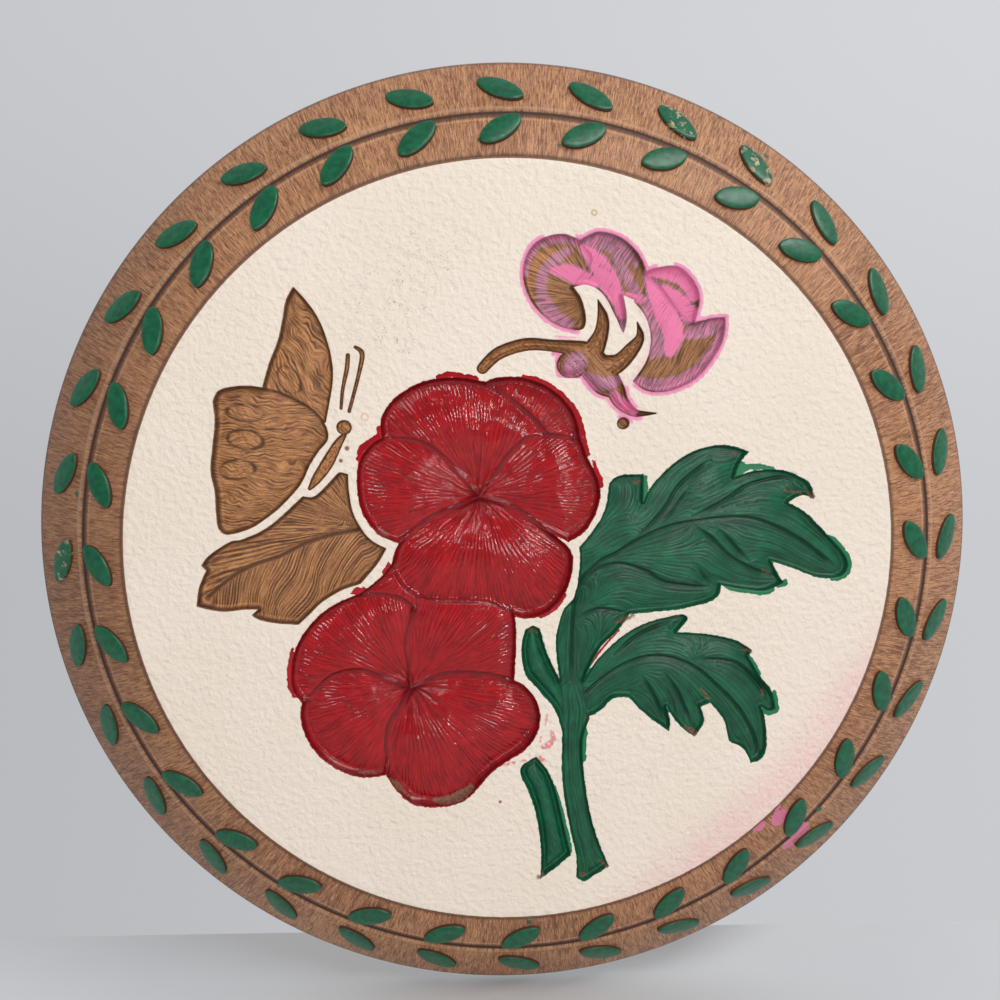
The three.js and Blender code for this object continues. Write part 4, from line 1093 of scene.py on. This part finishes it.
class Coat:
    """One material and the nodes that are put in it. Its places are in millimetres."""
    def __init__(self, name):
        self.material = bpy.data.materials.new(name)
        self.material.use_nodes = True
        self.tree = self.material.node_tree
        self.tree.nodes.clear()
        place = self.node("ShaderNodeTexCoord", {}, {})["Object"]
        self.place = self.node("ShaderNodeVectorMath", {"operation": "SCALE"},
                               {0: place, "Scale": 1 / MM})["Vector"]
        parts = self.node("ShaderNodeSeparateXYZ", {}, {"Vector": self.place})
        self.x, self.y, self.z = parts["X"], parts["Y"], parts["Z"]
        self.radius = (self.x * self.x + self.z * self.z) ** 0.5

    def node(self, kind, settings, sockets):
        node = self.tree.nodes.new(kind)
        for key, value in settings.items():
            setattr(node, key, value)
        for key, value in sockets.items():
            if isinstance(value, Term):
                self.tree.links.new(value.socket, node.inputs[key])
            else:
                node.inputs[key].default_value = value
        return Made(self, node)

    def held(self, name, output="Fac"):
        """A number held at the vertices, or a place from the output called Vector."""
        return self.node("ShaderNodeAttribute", {"attribute_type": "GEOMETRY", "attribute_name": name},
                         {})[output]

    def spread(self, scale, place=None, detail=2.0, rough=0.5, warp=0.0):
        """Uneven variation, 0 to 1, with so many lumps in a millimetre."""
        return self.node("ShaderNodeTexNoise", {"noise_dimensions": "3D"},
                         {"Vector": place or self.place, "Scale": scale, "Detail": detail,
                          "Roughness": rough, "Distortion": warp})["Fac"]

    def stretched(self, *scale):
        """The place with its three directions scaled, for streaks."""
        return self.node("ShaderNodeMapping", {}, {"Vector": self.place, "Scale": scale})["Vector"]

    def round_the_rim(self, turn, out):
        """A place that turns and moves out as fast as this, for streaks that point to the middle."""
        return self.node("ShaderNodeCombineXYZ", {}, {"X": self.x / self.radius * turn,
                                                      "Y": self.z / self.radius * turn,
                                                      "Z": self.radius * out})["Vector"]

    def mix(self, share, under, over):
        """One colour over another, by a share."""
        return self.node("ShaderNodeMix", {"data_type": "RGBA", "clamp_factor": True},
                         {0: share, 6: under, 7: over})[2]

    def layers(self, color, *laid):
        """Colours laid one after another over the first: a share, and red, green and blue on screen."""
        for share, *shade in laid:
            color = self.mix(share, color, tint(*shade))
        return color

    def disc(self, x, y, size, soft):
        """1 inside a round patch and 0 outside it."""
        dx, dy = self.x - x, self.z - y
        return ((dx * dx + dy * dy) ** 0.5).under(size - soft, size + soft)

    def loop(self, x, y, size, hole, soft):
        """A round patch with a round hole in it."""
        return self.disc(x, y, size, soft) * (1 - self.disc(x, y, hole, soft))

    def discs(self, spots, softness):
        """Several round patches added up, with edges that are soft by a share of their size."""
        return sum(self.disc(x, y, size, size * softness) for x, y, size in spots)

    def finish(self, color, rough, bumps, ior=1.5):
        """Joins colour, roughness and bumps, each a strength, a depth and a height, to the shader."""
        sockets = {"Base Color": color, "Roughness": rough, "IOR": ior}
        for strength, depth, height in bumps:
            below = {"Normal": sockets["Normal"]} if "Normal" in sockets else {}
            bump = {"Strength": strength, "Distance": depth * MM, "Height": height, **below}
            sockets["Normal"] = self.node("ShaderNodeBump", {}, bump)["Normal"]
        shader = self.node("ShaderNodeBsdfPrincipled", {}, sockets)
        self.node("ShaderNodeOutputMaterial", {}, {"Surface": shader["BSDF"]})
        return self.material


def field_cream(coat, look, wave, ragged, fold):
    """Cream paint of the plain field, with its dirt, cracks and specks, and stray pink and red."""
    corner = coat.x * 0.73 - coat.z * 0.68          # towards the lower right
    dust = coat.radius.over(96, 115) * corner.over(92, 110) * coat.spread(0.06, detail=3.0).over(0.22, 0.5)
    powder = coat.spread(1.5, detail=3.0, rough=0.7) - 0.5
    crack = coat.spread(0.7, detail=1.0, warp=1.3).near(0.5, 0.016).over(0.1, 0.8)
    crack = crack * coat.discs(CRACKED, 0.6) * coat.spread(0.42, detail=1.0).over(0.5, 0.57)
    beyond, halo = coat.held("brown"), coat.held("halo")
    run = (beyond + 1.25 + wave * 0.7).over(0, 0.3) * halo.over(0.1, 0.7)
    haze = coat.held("haze") * coat.spread(0.3, detail=3.0).over(0.2, 0.6)
    smear = (coat.held("smear") + ragged * 1.4).over(-0.15, 0.25)
    return coat.layers(
        look["cream"],
        (coat.spread(0.02).over(0.35, 0.65), 236, 222, 206),
        (coat.spread(0.35, detail=4.0, rough=0.7).over(0.62, 0.85) * 0.16, 190, 170, 150),
        (dust * (0.42 + powder * 1.2 + (fold - 0.5) * 0.4), 236, 180, 182),
        (crack * 0.7, 84, 76, 72),
        *((coat.disc(*speck, 0.25), 146, 98, 62) for speck in SPECKS),
        (coat.loop(-43.9, 41.8, 1.3, 0.7, 0.3) * 0.5, 205, 170, 90),
        (coat.disc(33.5, 39.8, 1.15, 0.3), 196, 150, 112),
        (coat.loop(24.1, 101.5, 0.95, 0.5, 0.2) * 0.8, 190, 160, 96),
        (run * (0.75 + coat.spread(0.25) * 0.3), 240, 142, 184),
        ((beyond + 0.5).over(-0.2, 0.4) * halo * 0.45, 210, 92, 144),
        (haze * 0.35, 238, 170, 190),
        (smear * coat.spread(1.1, detail=3.0).over(0.35, 0.55) * 0.75, 216, 96, 104))


def carved_stain(coat, look, grain, hair, groove, wall):
    """Brown stain of the butterfly and its leaf, and the pink that was brushed over the third pansy. Both
    are darker on the carved walls, partly with painted shade.
    """
    stain = coat.layers(
        look["stain"],
        (grain.over(0.3, 0.7) * 0.6, 132, 84, 50),
        (hair.under(0.36, 0.52) * 0.75, 88, 52, 30),
        (hair.over(0.5, 0.64) * 0.6, 216, 156, 96),
        (groove.over(0.05, 0.7) * 0.85, 76, 45, 28),
        # walls darker: partly stain gathered on them, partly painted shade
        (wall.over(0.02, 0.75) * 0.85, 52, 32, 24),
        (coat.disc(50, 62, 42, 8) * 0.25, 92, 58, 42))
    cover = coat.held("pink")
    cover = cover + (coat.spread(0.45, detail=3.0) + hair - 1) * 0.8 * cover.over(0, 0.3)
    # the mauve is darker on the walls, partly as painted shade
    mauve = coat.layers(tint(150, 96, 122), (hair.over(0.36, 0.6), 206, 144, 176),
                        (groove * 0.7 + wall * 0.4, 118, 74, 88))
    # the pink is darker on the walls, partly as painted shade
    pink = coat.layers(look["pink"], (groove * 0.3 + wall * 0.45, 196, 86, 134))
    glazed = coat.mix((cover + 0.1).over(0.12, 0.5) * 0.75, stain, mauve)
    return coat.mix((cover - groove * 0.3).over(0.42, 0.9), glazed, pink)


def field_paint(look):
    """Cream, red, green and pink paint over brown stain, each where the carving asks for it; the walls of
    the carving are darker, partly with painted shade.
    """
    coat = Coat("painted_field")
    wave = coat.spread(0.75, detail=1.0) - 0.5
    ragged = wave * 0.5 + (coat.spread(3.2, detail=1.0) - 0.5) * 0.16
    plane = (coat.y + THICKNESS).under(0.07, 0.2)          # on the plain field, not in the carving
    edge_wave = ragged * (0.5 + plane * 1.1)
    red = (coat.held("red") + edge_wave).over(-0.05, 0.05)
    green = (coat.held("green") + edge_wave).over(-0.05, 0.05)
    brown = (coat.held("brown") + ragged * 0.3).over(-0.06, 0.06)
    groove, wall = coat.held("groove"), coat.held("wall")
    fold = coat.spread(0.62, detail=1.0)
    grain = coat.spread(1.6, detail=4.0, rough=0.65)
    hair = coat.spread(2.2, coat.held("hang", "Vector"), rough=0.6)
    thin = coat.spread(0.22, detail=3.0, rough=0.6)
    red_enamel = coat.layers(
        look["red"],
        (thin.over(0.3, 0.7) * 0.6, 132, 9, 18),
        (hair.under(0.34, 0.48) * 0.5, 104, 4, 12),
        (hair.over(0.54, 0.68) * 0.45, 206, 26, 36),
        (groove * 0.7, 78, 3, 10),
        # walls darker: partly darker paint, partly painted shade
        (wall * 0.85, 66, 5, 14))
    green_enamel = coat.layers(
        look["green"],
        (thin.over(0.3, 0.7), 10, 80, 52),
        (hair.under(0.36, 0.5) * 0.55, 4, 54, 36),
        (hair.over(0.54, 0.68) * 0.35, 30, 128, 86),
        (groove * 0.9, 3, 32, 22),
        # walls darker: partly darker paint, partly painted shade
        (wall * 0.7, 4, 40, 28),
        (plane * 0.7, 14, 122, 76))
    chips = coat.spread(1.3, detail=3.0, rough=0.6) - 0.5
    worn = (coat.held("bare") + chips * 1.6 - 0.3).over(-0.25, 0.3)
    bare = coat.layers(tint(84, 52, 40), (grain.over(0.3, 0.7), 142, 104, 80))
    color = field_cream(coat, look, wave, ragged, fold)
    for share, over in ((brown, carved_stain(coat, look, grain, hair, groove, wall)), (red, red_enamel),
                        (green, green_enamel), (worn * 0.85, bare)):
        color = coat.mix(share, color, over)
    color = coat.layers(color, (coat.radius.over(FIELD_RADIUS - 0.75, FIELD_RADIUS - 0.5), 126, 84, 60))
    rough = (0.5 - red * (0.385 - groove * 0.1) - green * 0.15 - brown * 0.05 + worn * 0.25
             + (grain - 0.5) * 0.08)
    plain = (1 - red) * (1 - green) * (1 - brown)
    beads = coat.spread(1.1, detail=1.0)
    bumps = [(0.9, 0.6, fold * plain), (0.7, 0.3, (grain + hair) * brown),
             (0.45, 0.14, (beads + hair) * (red + green)), (0.3, 0.15, 0 - worn)]
    return coat.finish(color, rough, bumps, ior=1.42)


def rim_stain(look):
    """Brown stain combed across the rim, darker beside the vein, with painted shade on its left side and
    next to the field's edge.
    """
    coat = Coat("stained_rim")
    hair = coat.spread(1.0, coat.round_the_rim(340, 0.3), detail=3.0, rough=0.7)
    band = coat.spread(1.0, coat.round_the_rim(90, 0.12), detail=4.0, rough=0.65)
    slow = coat.spread(0.022, detail=3.0)
    speck = coat.spread(1.1, detail=3.0, rough=0.7)
    inner, crease = coat.radius - FIELD_RADIUS, coat.radius - CREASE_RADIUS
    vein, outer = coat.radius - VEIN_RADIUS, coat.radius - DIAMETER / 2
    beside = crease.over(-1.6, -0.8) * crease.under(0.4, 0.7)
    blot = coat.discs(PINK_BLOTS, 0.45)
    blot = (blot + (coat.spread(0.3, detail=3.0) - 0.5) * 1.4).over(0.45, 0.7) * blot.over(0.02, 0.3)
    color = coat.layers(
        coat.mix(band.over(0.3, 0.7), look["rim_dark"], look["rim"]),
        (slow.over(0.35, 0.65) * 0.5, 190, 136, 96),
        (hair.under(0.37, 0.49) * 0.75, 88, 54, 36),
        (hair.over(0.52, 0.64) * 0.6, 216, 166, 118),
        (speck.under(0.34, 0.42) * 0.5, 90, 56, 40),
        (beside * (0.5 + speck * 0.5), 84, 52, 38),
        (crease.near(-1.8, 0.5).over(0, 0.9) * 0.3, 214, 172, 136),
        # painted shade: the left side of the rim is darker
        ((0 - coat.x).over(60, 150) * 0.35, 84, 52, 38),
        (crease.near(0.3, 0.65).over(0, 0.7) * 0.9, 48, 28, 22),
        (vein.near(0.3, 1.0).over(0, 0.9) * 0.3, 214, 172, 136),
        # painted shade where the rim meets the proud field
        (inner.under(0.1, 1.4) * 0.75, 66, 42, 32),
        (outer.over(-1.6, -0.6) * 0.6, 86, 62, 50),
        (outer.over(-0.7, -0.2) * 0.7, 150, 138, 128),
        (blot * 0.8, 222, 120, 160))
    for x, y, size in GREEN_TOUCHES:
        touch = (coat.disc(x, y, size, size * 0.7) + (speck - 0.5) * 1.2).over(0.42, 0.6)
        color = coat.layers(color, (touch * coat.disc(x, y, size * 1.3, 0.3) * 0.85, 20, 92, 62))
    rough = 0.52 - band * 0.1 + (hair - 0.5) * 0.25
    return coat.finish(color, rough, [(0.6, 0.25, hair), (0.35, 0.4, band)], ior=1.45)


def leaf_enamel(look):
    """Green enamel on the garland, worn to the stain on the sides and on a few leaves."""
    coat = Coat("garland_enamel")
    rise, wear = coat.held("rise"), coat.held("wear")
    drift = coat.spread(0.5, detail=3.0)
    side = (rise + (drift - 0.5) * 0.4).under(0.62, 0.9)
    rub = (coat.spread(0.4, rough=0.6) + wear * 0.5).over(0.7, 0.82) * wear.over(0.02, 0.1) * 0.8
    color = coat.layers(look["green"], (drift.over(0.3, 0.7), 8, 78, 50), (side, 74, 46, 32))
    wood = coat.layers(tint(132, 108, 76), (drift.over(0.3, 0.7), 206, 192, 156))
    rough = 0.31 + side * 0.25 + rub * 0.2 + (drift - 0.5) * 0.1
    return coat.finish(coat.mix(rub, color, wood), rough, [(0.3, 0.2, coat.spread(0.7))], ior=1.45)


def raw_wood():
    """Plain sanded wood for the back."""
    coat = Coat("back_wood")
    rings = coat.spread(1.0, coat.stretched(0.012, 0.3, 0.16), detail=5.0, rough=0.6, warp=0.6)
    fine = coat.spread(1.0, coat.stretched(0.05, 1.6, 1.6), detail=4.0, rough=0.6)
    color = coat.layers(tint(176, 134, 96), (rings.over(0.38, 0.62), 206, 168, 126),
                        (fine.over(0.55, 0.8) * 0.5, 140, 100, 70))
    return coat.finish(color, 0.62 + (fine - 0.5) * 0.15, [(0.35, 0.25, fine)], ior=1.45)


def floor_paint():
    """A pale even floor."""
    coat = Coat("pale_floor")
    color = coat.layers(tint(206, 209, 212), (coat.spread(0.01).over(0.3, 0.7), 212, 214, 216))
    return coat.finish(color, 0.6 + (coat.spread(0.05) - 0.5) * 0.1, [])

# ---- making with the modelling operators ----
def nothing_selected():
    """Leaves edit mode and selects no object."""
    if bpy.context.object and bpy.context.object.mode != "OBJECT":
        bpy.ops.object.mode_set(mode="OBJECT")
    bpy.ops.object.select_all(action="DESELECT")


def pick(*pieces):
    """Selects these objects and no others, and makes the first one active."""
    nothing_selected()
    for piece in pieces:
        piece.select_set(True)
    bpy.context.view_layer.objects.active = pieces[0]


def smooth(piece, degrees):
    """Shades a piece smooth, with sharp edges where its faces turn by more than this."""
    pick(piece)
    bpy.ops.object.shade_smooth_by_angle(angle=math.radians(degrees))


def settle(piece):
    """Puts the object's place in its mesh and ties it to the model."""
    pick(piece)
    bpy.ops.object.transform_apply(location=True, rotation=True, scale=True)
    piece.select_set(False)
    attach(piece, "root")
    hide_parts("plaque")


def rim_height(radius):
    """Height of the rim above the flat back."""
    out = radius - FIELD_RADIUS
    return RIM_TOP - RIM_START_SLOPE * out - RIM_CURVE * out ** 2


def bulge(gap, half):
    """1 at the middle of a rounded ridge, falling to 0 at half its width."""
    return 0.5 * (1 + math.cos(math.pi * min(gap / half, 1)))


def rim_profile():
    """Radius and height round the board's section, from the edge of the back to the recess."""
    edge = DIAMETER / 2
    rings = [(edge - BACK_BEVEL, 0), (edge - 0.35, 0.35), (edge, BACK_BEVEL),
             (edge, EDGE_THICKNESS - 0.7), (edge - 0.2, EDGE_THICKNESS - 0.25)]
    radius = edge - 0.6
    while radius > FIELD_RADIUS + 0.2:
        vein = abs(radius - VEIN_RADIUS)
        height = rim_height(radius) + VEIN_HEIGHT * bulge(vein, VEIN_HALF_WIDTH)
        height -= CREASE_DEPTH * bulge(abs(radius - CREASE_RADIUS), CREASE_HALF_WIDTH)
        rings.append((radius, height))
        radius -= 0.22 if vein < 2 * VEIN_HALF_WIDTH else 1.1
    rings += [(FIELD_RADIUS + 0.12, rim_height(FIELD_RADIUS + 0.12) - 0.12),
              (FIELD_RADIUS - 0.1, rim_height(FIELD_RADIUS) - 0.6),
              (FIELD_RADIUS - 0.15, THICKNESS - FIELD_DEPTH)]
    return rings


def board_object():
    """The turned board: flat back, edge, sloping rim and a recess for the field."""
    rings = rim_profile()
    nothing_selected()
    bpy.ops.mesh.primitive_circle_add(vertices=BOARD_SIDES, radius=rings[0][0] * MM, fill_type="NGON",
                                      location=(0, 0, 0))
    board = bpy.context.object
    board.name = "board"
    bpy.ops.object.mode_set(mode="EDIT")
    bpy.ops.mesh.select_all(action="SELECT")
    bpy.ops.mesh.flip_normals()
    bpy.ops.mesh.select_all(action="DESELECT")
    bpy.ops.mesh.select_mode(type="EDGE")
    bpy.ops.mesh.select_all(action="SELECT")
    for (r0, z0), (r1, z1) in zip(rings, rings[1:]):
        bpy.ops.mesh.extrude_edges_move(TRANSFORM_OT_translate={"value": (0, 0, (z1 - z0) * MM)})
        bpy.ops.transform.resize(value=(r1 / r0, r1 / r0, 1), center_override=(0, 0, z1 * MM))
    bpy.ops.mesh.edge_face_add()
    bpy.ops.mesh.select_all(action="SELECT")
    bpy.ops.mesh.normals_make_consistent(inside=False)
    bpy.ops.object.mode_set(mode="OBJECT")
    board.rotation_euler = (math.pi / 2, 0, 0)
    return board


def lens(turn, size):
    """One place on a garland leaf's outline."""
    return (size[0] / 2 * math.cos(turn),
            size[1] / 2 * math.copysign(abs(math.sin(turn)) ** LEAF_POINT, math.sin(turn)))


def garland_leaf(size_of_leaf):
    """One leaf: upright sides and a crowned top, sunk a little way into the rim."""
    nothing_selected()
    bpy.ops.mesh.primitive_circle_add(vertices=LEAF_SIDES, radius=MM, fill_type="NGON", location=(0, 0, 0))
    leaf = bpy.context.object
    for vertex in leaf.data.vertices:
        x, y = lens(math.atan2(vertex.co.y, vertex.co.x), size_of_leaf)
        vertex.co = (x * MM, y * MM, -LEAF_SUNK * MM)
    bpy.ops.object.mode_set(mode="EDIT")
    bpy.ops.mesh.select_all(action="SELECT")
    size, height = 1.0, -LEAF_SUNK
    for next_size, next_height in LEAF_SECTION:
        rise = (next_height - height) * MM
        bpy.ops.mesh.extrude_region_move(TRANSFORM_OT_translate={"value": (0, 0, rise)})
        grow = next_size / size
        bpy.ops.transform.resize(value=(grow, grow, 1), center_override=(0, 0, next_height * MM))
        size, height = next_size, next_height
    bpy.ops.mesh.select_all(action="SELECT")
    bpy.ops.mesh.normals_make_consistent(inside=False)
    bpy.ops.object.mode_set(mode="OBJECT")
    store(leaf.data, "rise", [v.co.z / MM for v in leaf.data.vertices])
    return leaf


def garland_row(name, radius, first, tilt, size, worn):
    """A ring of leaves, each turned and tipped to lie on the rim."""
    master = garland_leaf(size)
    slope = RIM_START_SLOPE + 2 * RIM_CURVE * (radius - FIELD_RADIUS)
    leaves = []
    for i in range(GARLAND_PAIRS):
        pick(master)
        bpy.ops.object.duplicate()
        leaf = bpy.context.object
        angle = math.radians(first) + 2 * math.pi * i / GARLAND_PAIRS
        leaf.matrix_world = (Matrix.Rotation(math.pi / 2, 4, "X") @ Matrix.Rotation(angle, 4, "Z")
                             @ Matrix.Translation((radius * MM, 0, rim_height(radius) * MM))
                             @ Matrix.Rotation(math.atan(slope), 4, "Y")
                             @ Matrix.Rotation(math.radians(90 - tilt), 4, "Z"))
        store(leaf.data, "wear", [worn.get(i, 0.0)] * len(leaf.data.vertices))
        leaves.append(leaf)
    bpy.data.objects.remove(master, do_unlink=True)
    pick(*leaves)
    bpy.ops.object.join()
    made = bpy.context.object
    made.name = name
    return made


# ---- what a user may change ----
def color_prop(name, description, *shade):
    """A colour in the panel, with red, green and blue on screen to begin with."""
    return bpy.props.FloatVectorProperty(name=name, description=description, size=4, subtype="COLOR",
                                         min=0, max=1, default=tint(*shade))


def light_prop(name, description, value, **more):
    """A brightness in the panel."""
    return bpy.props.FloatProperty(name=name, description=description, default=value, min=0, **more)


class PlaqueColors(bpy.types.PropertyGroup):
    """Colours of the paints and stains."""
    cream: color_prop("Cream", "Paint of the plain field", 239, 225, 210)
    red: color_prop("Red", "Enamel of the pansies", 176, 13, 22)
    green: color_prop("Green", "Enamel of the leaves", 12, 100, 65)
    pink: color_prop("Pink", "Paint brushed over the third pansy", 240, 126, 170)
    stain: color_prop("Stain", "Brown of the butterfly and its leaf", 190, 130, 82)
    rim: color_prop("Rim", "Lighter brown of the rim", 182, 128, 92)
    rim_dark: color_prop("Rim, darker", "Darker brown of the rim", 132, 84, 58)


class PlaqueLight(bpy.types.PropertyGroup):
    """The studio light."""
    key_power: light_prop("Key light", "Power of the soft light above", 7.5, unit="POWER")
    strip_power: light_prop("Strip lights", "Power of each long light in front", 1.9, unit="POWER")
    front: light_prop("Room", "Brightness of the room in front", 0.36)


def changeable(group):
    """The names of what a user may change in a group."""
    return [name for name in group.bl_rna.properties.keys() if name not in ("rna_type", "name")]


def look_colors():
    """The colours that the user has set."""
    colors = bpy.context.scene.plaque_colors
    return {name: tuple(getattr(colors, name)) for name in changeable(colors)}


class PLAQUE_OT_field(bpy.types.Operator):
    """Makes the field: six blocks with the flowers, the butterfly and the leaves carved in them"""
    bl_idname = "plaque.field"
    bl_label = "Field and carving"

    def execute(self, context):
        paint = field_paint(look_colors())
        zone = near_the_carving()
        outlines = np.concatenate([closed_ring(runs, 0.25) for runs in OUTLINES.values()])
        for name, corners in BLOCKS.items():
            ring = np.concatenate([border(a, b)[:-1] for a, b in zip(corners, corners[1:] + corners[0])])
            piece = block_object("field_" + name, ring, zone, outlines)
            piece.data.materials.append(paint)
            settle(piece)
        return {"FINISHED"}


class PLAQUE_OT_board(bpy.types.Operator):
    """Makes the turned board with its sloping rim and the vein that the garland grows from"""
    bl_idname = "plaque.board"
    bl_label = "Board and rim"

    def execute(self, context):
        board = board_object()
        board.data.materials.append(rim_stain(look_colors()))
        board.data.materials.append(raw_wood())
        settle(board)
        for face in board.data.polygons:
            face.material_index = 1 if face.normal.y > 0.5 and face.center.y > -2 * MM else 0
        smooth(board, 38)
        return {"FINISHED"}


class PLAQUE_OT_garland(bpy.types.Operator):
    """Makes the two rows of small raised leaves on the rim"""
    bl_idname = "plaque.garland"
    bl_label = "Garland"

    def execute(self, context):
        enamel = leaf_enamel(look_colors())
        for name, row in GARLAND_ROWS.items():
            leaves = garland_row(name, *row)
            leaves.data.materials.clear()
            leaves.data.materials.append(enamel)
            settle(leaves)
            smooth(leaves, 50)
        return {"FINISHED"}


FLOOR_PLACE = (0, -0.57, -0.1525)
FLOOR_SCALE = (3.0, 1.2, 1.0)
LAMP_AIM = Vector((0.02, -0.02, 0.02))
LAMPS = (                 # name, place, size and which power it has
    ("key", (0.52, -0.62, 0.9), (1.1, 0.35), "key_power"),
    ("left_strip", (-0.45, -0.95, 0.38), (0.26, 0.06), "strip_power"),
    ("right_strip", (0.3, -1.05, 0.13), (0.2, 0.045), "strip_power"),
)
CAMERA_PLACE = (-0.01339, -0.32497, 0.05227)
CAMERA_FORWARD = Vector((0.03253, 0.99254, -0.11750))
CAMERA_UP = Vector((0.00385, 0.11744, 0.99307))


def add_floor():
    """The floor that the plaque stands on."""
    nothing_selected()
    bpy.ops.mesh.primitive_plane_add(size=1, location=FLOOR_PLACE)
    floor = bpy.context.object
    floor.name = "stage_floor"
    floor.scale = FLOOR_SCALE
    bpy.ops.object.transform_apply(location=True, rotation=True, scale=True)
    floor.data.materials.append(floor_paint())


def add_surroundings(front):
    """A pale room that is darker in front, brighter above and brighter on the right."""
    world = bpy.data.worlds.new("pale_surroundings")
    bpy.context.scene.world = world
    world.use_nodes = True
    nodes, links = world.node_tree.nodes, world.node_tree.links
    back = nodes["Background"]
    back.inputs["Color"].default_value = tint(207, 209, 213)
    way = nodes.new("ShaderNodeSeparateXYZ")
    links.new(nodes.new("ShaderNodeTexCoord").outputs["Generated"], way.inputs[0])
    total = None
    for axis, *ends in (("Y", -0.6, 0.25, front, 0.85), ("Z", -0.2, 0.35, 0.0, 0.13),
                        ("X", -0.9, 0.9, -0.12, 0.12)):
        part = nodes.new("ShaderNodeMapRange")
        part.interpolation_type = "SMOOTHSTEP"
        for key, value in zip(("From Min", "From Max", "To Min", "To Max"), ends):
            part.inputs[key].default_value = value
        links.new(way.outputs[axis], part.inputs["Value"])
        so_far, total = total, nodes.new("ShaderNodeMath")
        links.new(part.outputs["Result"], total.inputs[0])
        total.inputs[1].default_value = 0.0
        if so_far:
            links.new(so_far.outputs[0], total.inputs[1])
    links.new(total.outputs[0], back.inputs["Strength"])


def add_lamps(light):
    """One soft light above and two long ones in front."""
    for name, place, size, power in LAMPS:
        lamp = bpy.data.lights.new(name, "AREA")
        lamp.shape = "RECTANGLE"
        lamp.size, lamp.size_y = size
        lamp.energy = getattr(light, power)
        lamp.color = (1.0, 0.985, 0.96)
        holder = bpy.data.objects.new(name, lamp)
        holder.location = place
        holder.rotation_euler = (LAMP_AIM - Vector(place)).to_track_quat("-Z", "Y").to_euler()
        bpy.context.collection.objects.link(holder)


def add_camera():
    """The camera, close in front of the plaque and a little above its middle."""
    lens_data = bpy.data.cameras.new("camera")
    lens_data.lens, lens_data.sensor_width = 36, 36
    lens_data.clip_start = 0.01
    camera = bpy.data.objects.new("camera", lens_data)
    forward = CAMERA_FORWARD.normalized()
    right = forward.cross(CAMERA_UP).normalized()
    turned = Matrix((right, right.cross(forward), -forward)).transposed()
    camera.matrix_world = Matrix.Translation(CAMERA_PLACE) @ turned.to_4x4()
    bpy.context.collection.objects.link(camera)
    bpy.context.scene.camera = camera


class PLAQUE_OT_stage(bpy.types.Operator):
    """Sets the floor, the surroundings, the lights and the camera"""
    bl_idname = "plaque.stage"
    bl_label = "Stage, light and camera"

    def execute(self, context):
        light = context.scene.plaque_light
        add_floor()
        add_surroundings(light.front)
        add_lamps(light)
        add_camera()
        context.scene.view_settings.view_transform = "Standard"
        return {"FINISHED"}


class PLAQUE_PT_panel(bpy.types.Panel):
    """Lists the steps and what may be changed"""
    bl_idname = "PLAQUE_PT_panel"
    bl_label = "Pansy plaque"
    bl_space_type = "VIEW_3D"
    bl_region_type = "UI"
    bl_category = "Plaque"

    def draw(self, context):
        for group in (context.scene.plaque_colors, context.scene.plaque_light):
            for name in changeable(group):
                self.layout.prop(group, name)
        for step in STEPS:
            self.layout.operator(step.bl_idname)


STEPS = (PLAQUE_OT_stage, PLAQUE_OT_field, PLAQUE_OT_board, PLAQUE_OT_garland)
CLASSES = (PlaqueColors, PlaqueLight) + STEPS + (PLAQUE_PT_panel,)


def register():
    for cls in CLASSES:
        bpy.utils.register_class(cls)
    bpy.types.Scene.plaque_colors = bpy.props.PointerProperty(type=PlaqueColors)
    bpy.types.Scene.plaque_light = bpy.props.PointerProperty(type=PlaqueLight)


def unregister():
    del bpy.types.Scene.plaque_colors
    del bpy.types.Scene.plaque_light
    for cls in reversed(CLASSES):
        bpy.utils.unregister_class(cls)


def corners(box):
    """A box as plain lists."""
    return [list(corner) for corner in box]


def main():
    register()
    bpy.ops.plaque.stage()
    bpy.ops.plaque.field()
    bpy.ops.plaque.board()
    bpy.ops.plaque.garland()


if __name__ == "__main__":
    main()
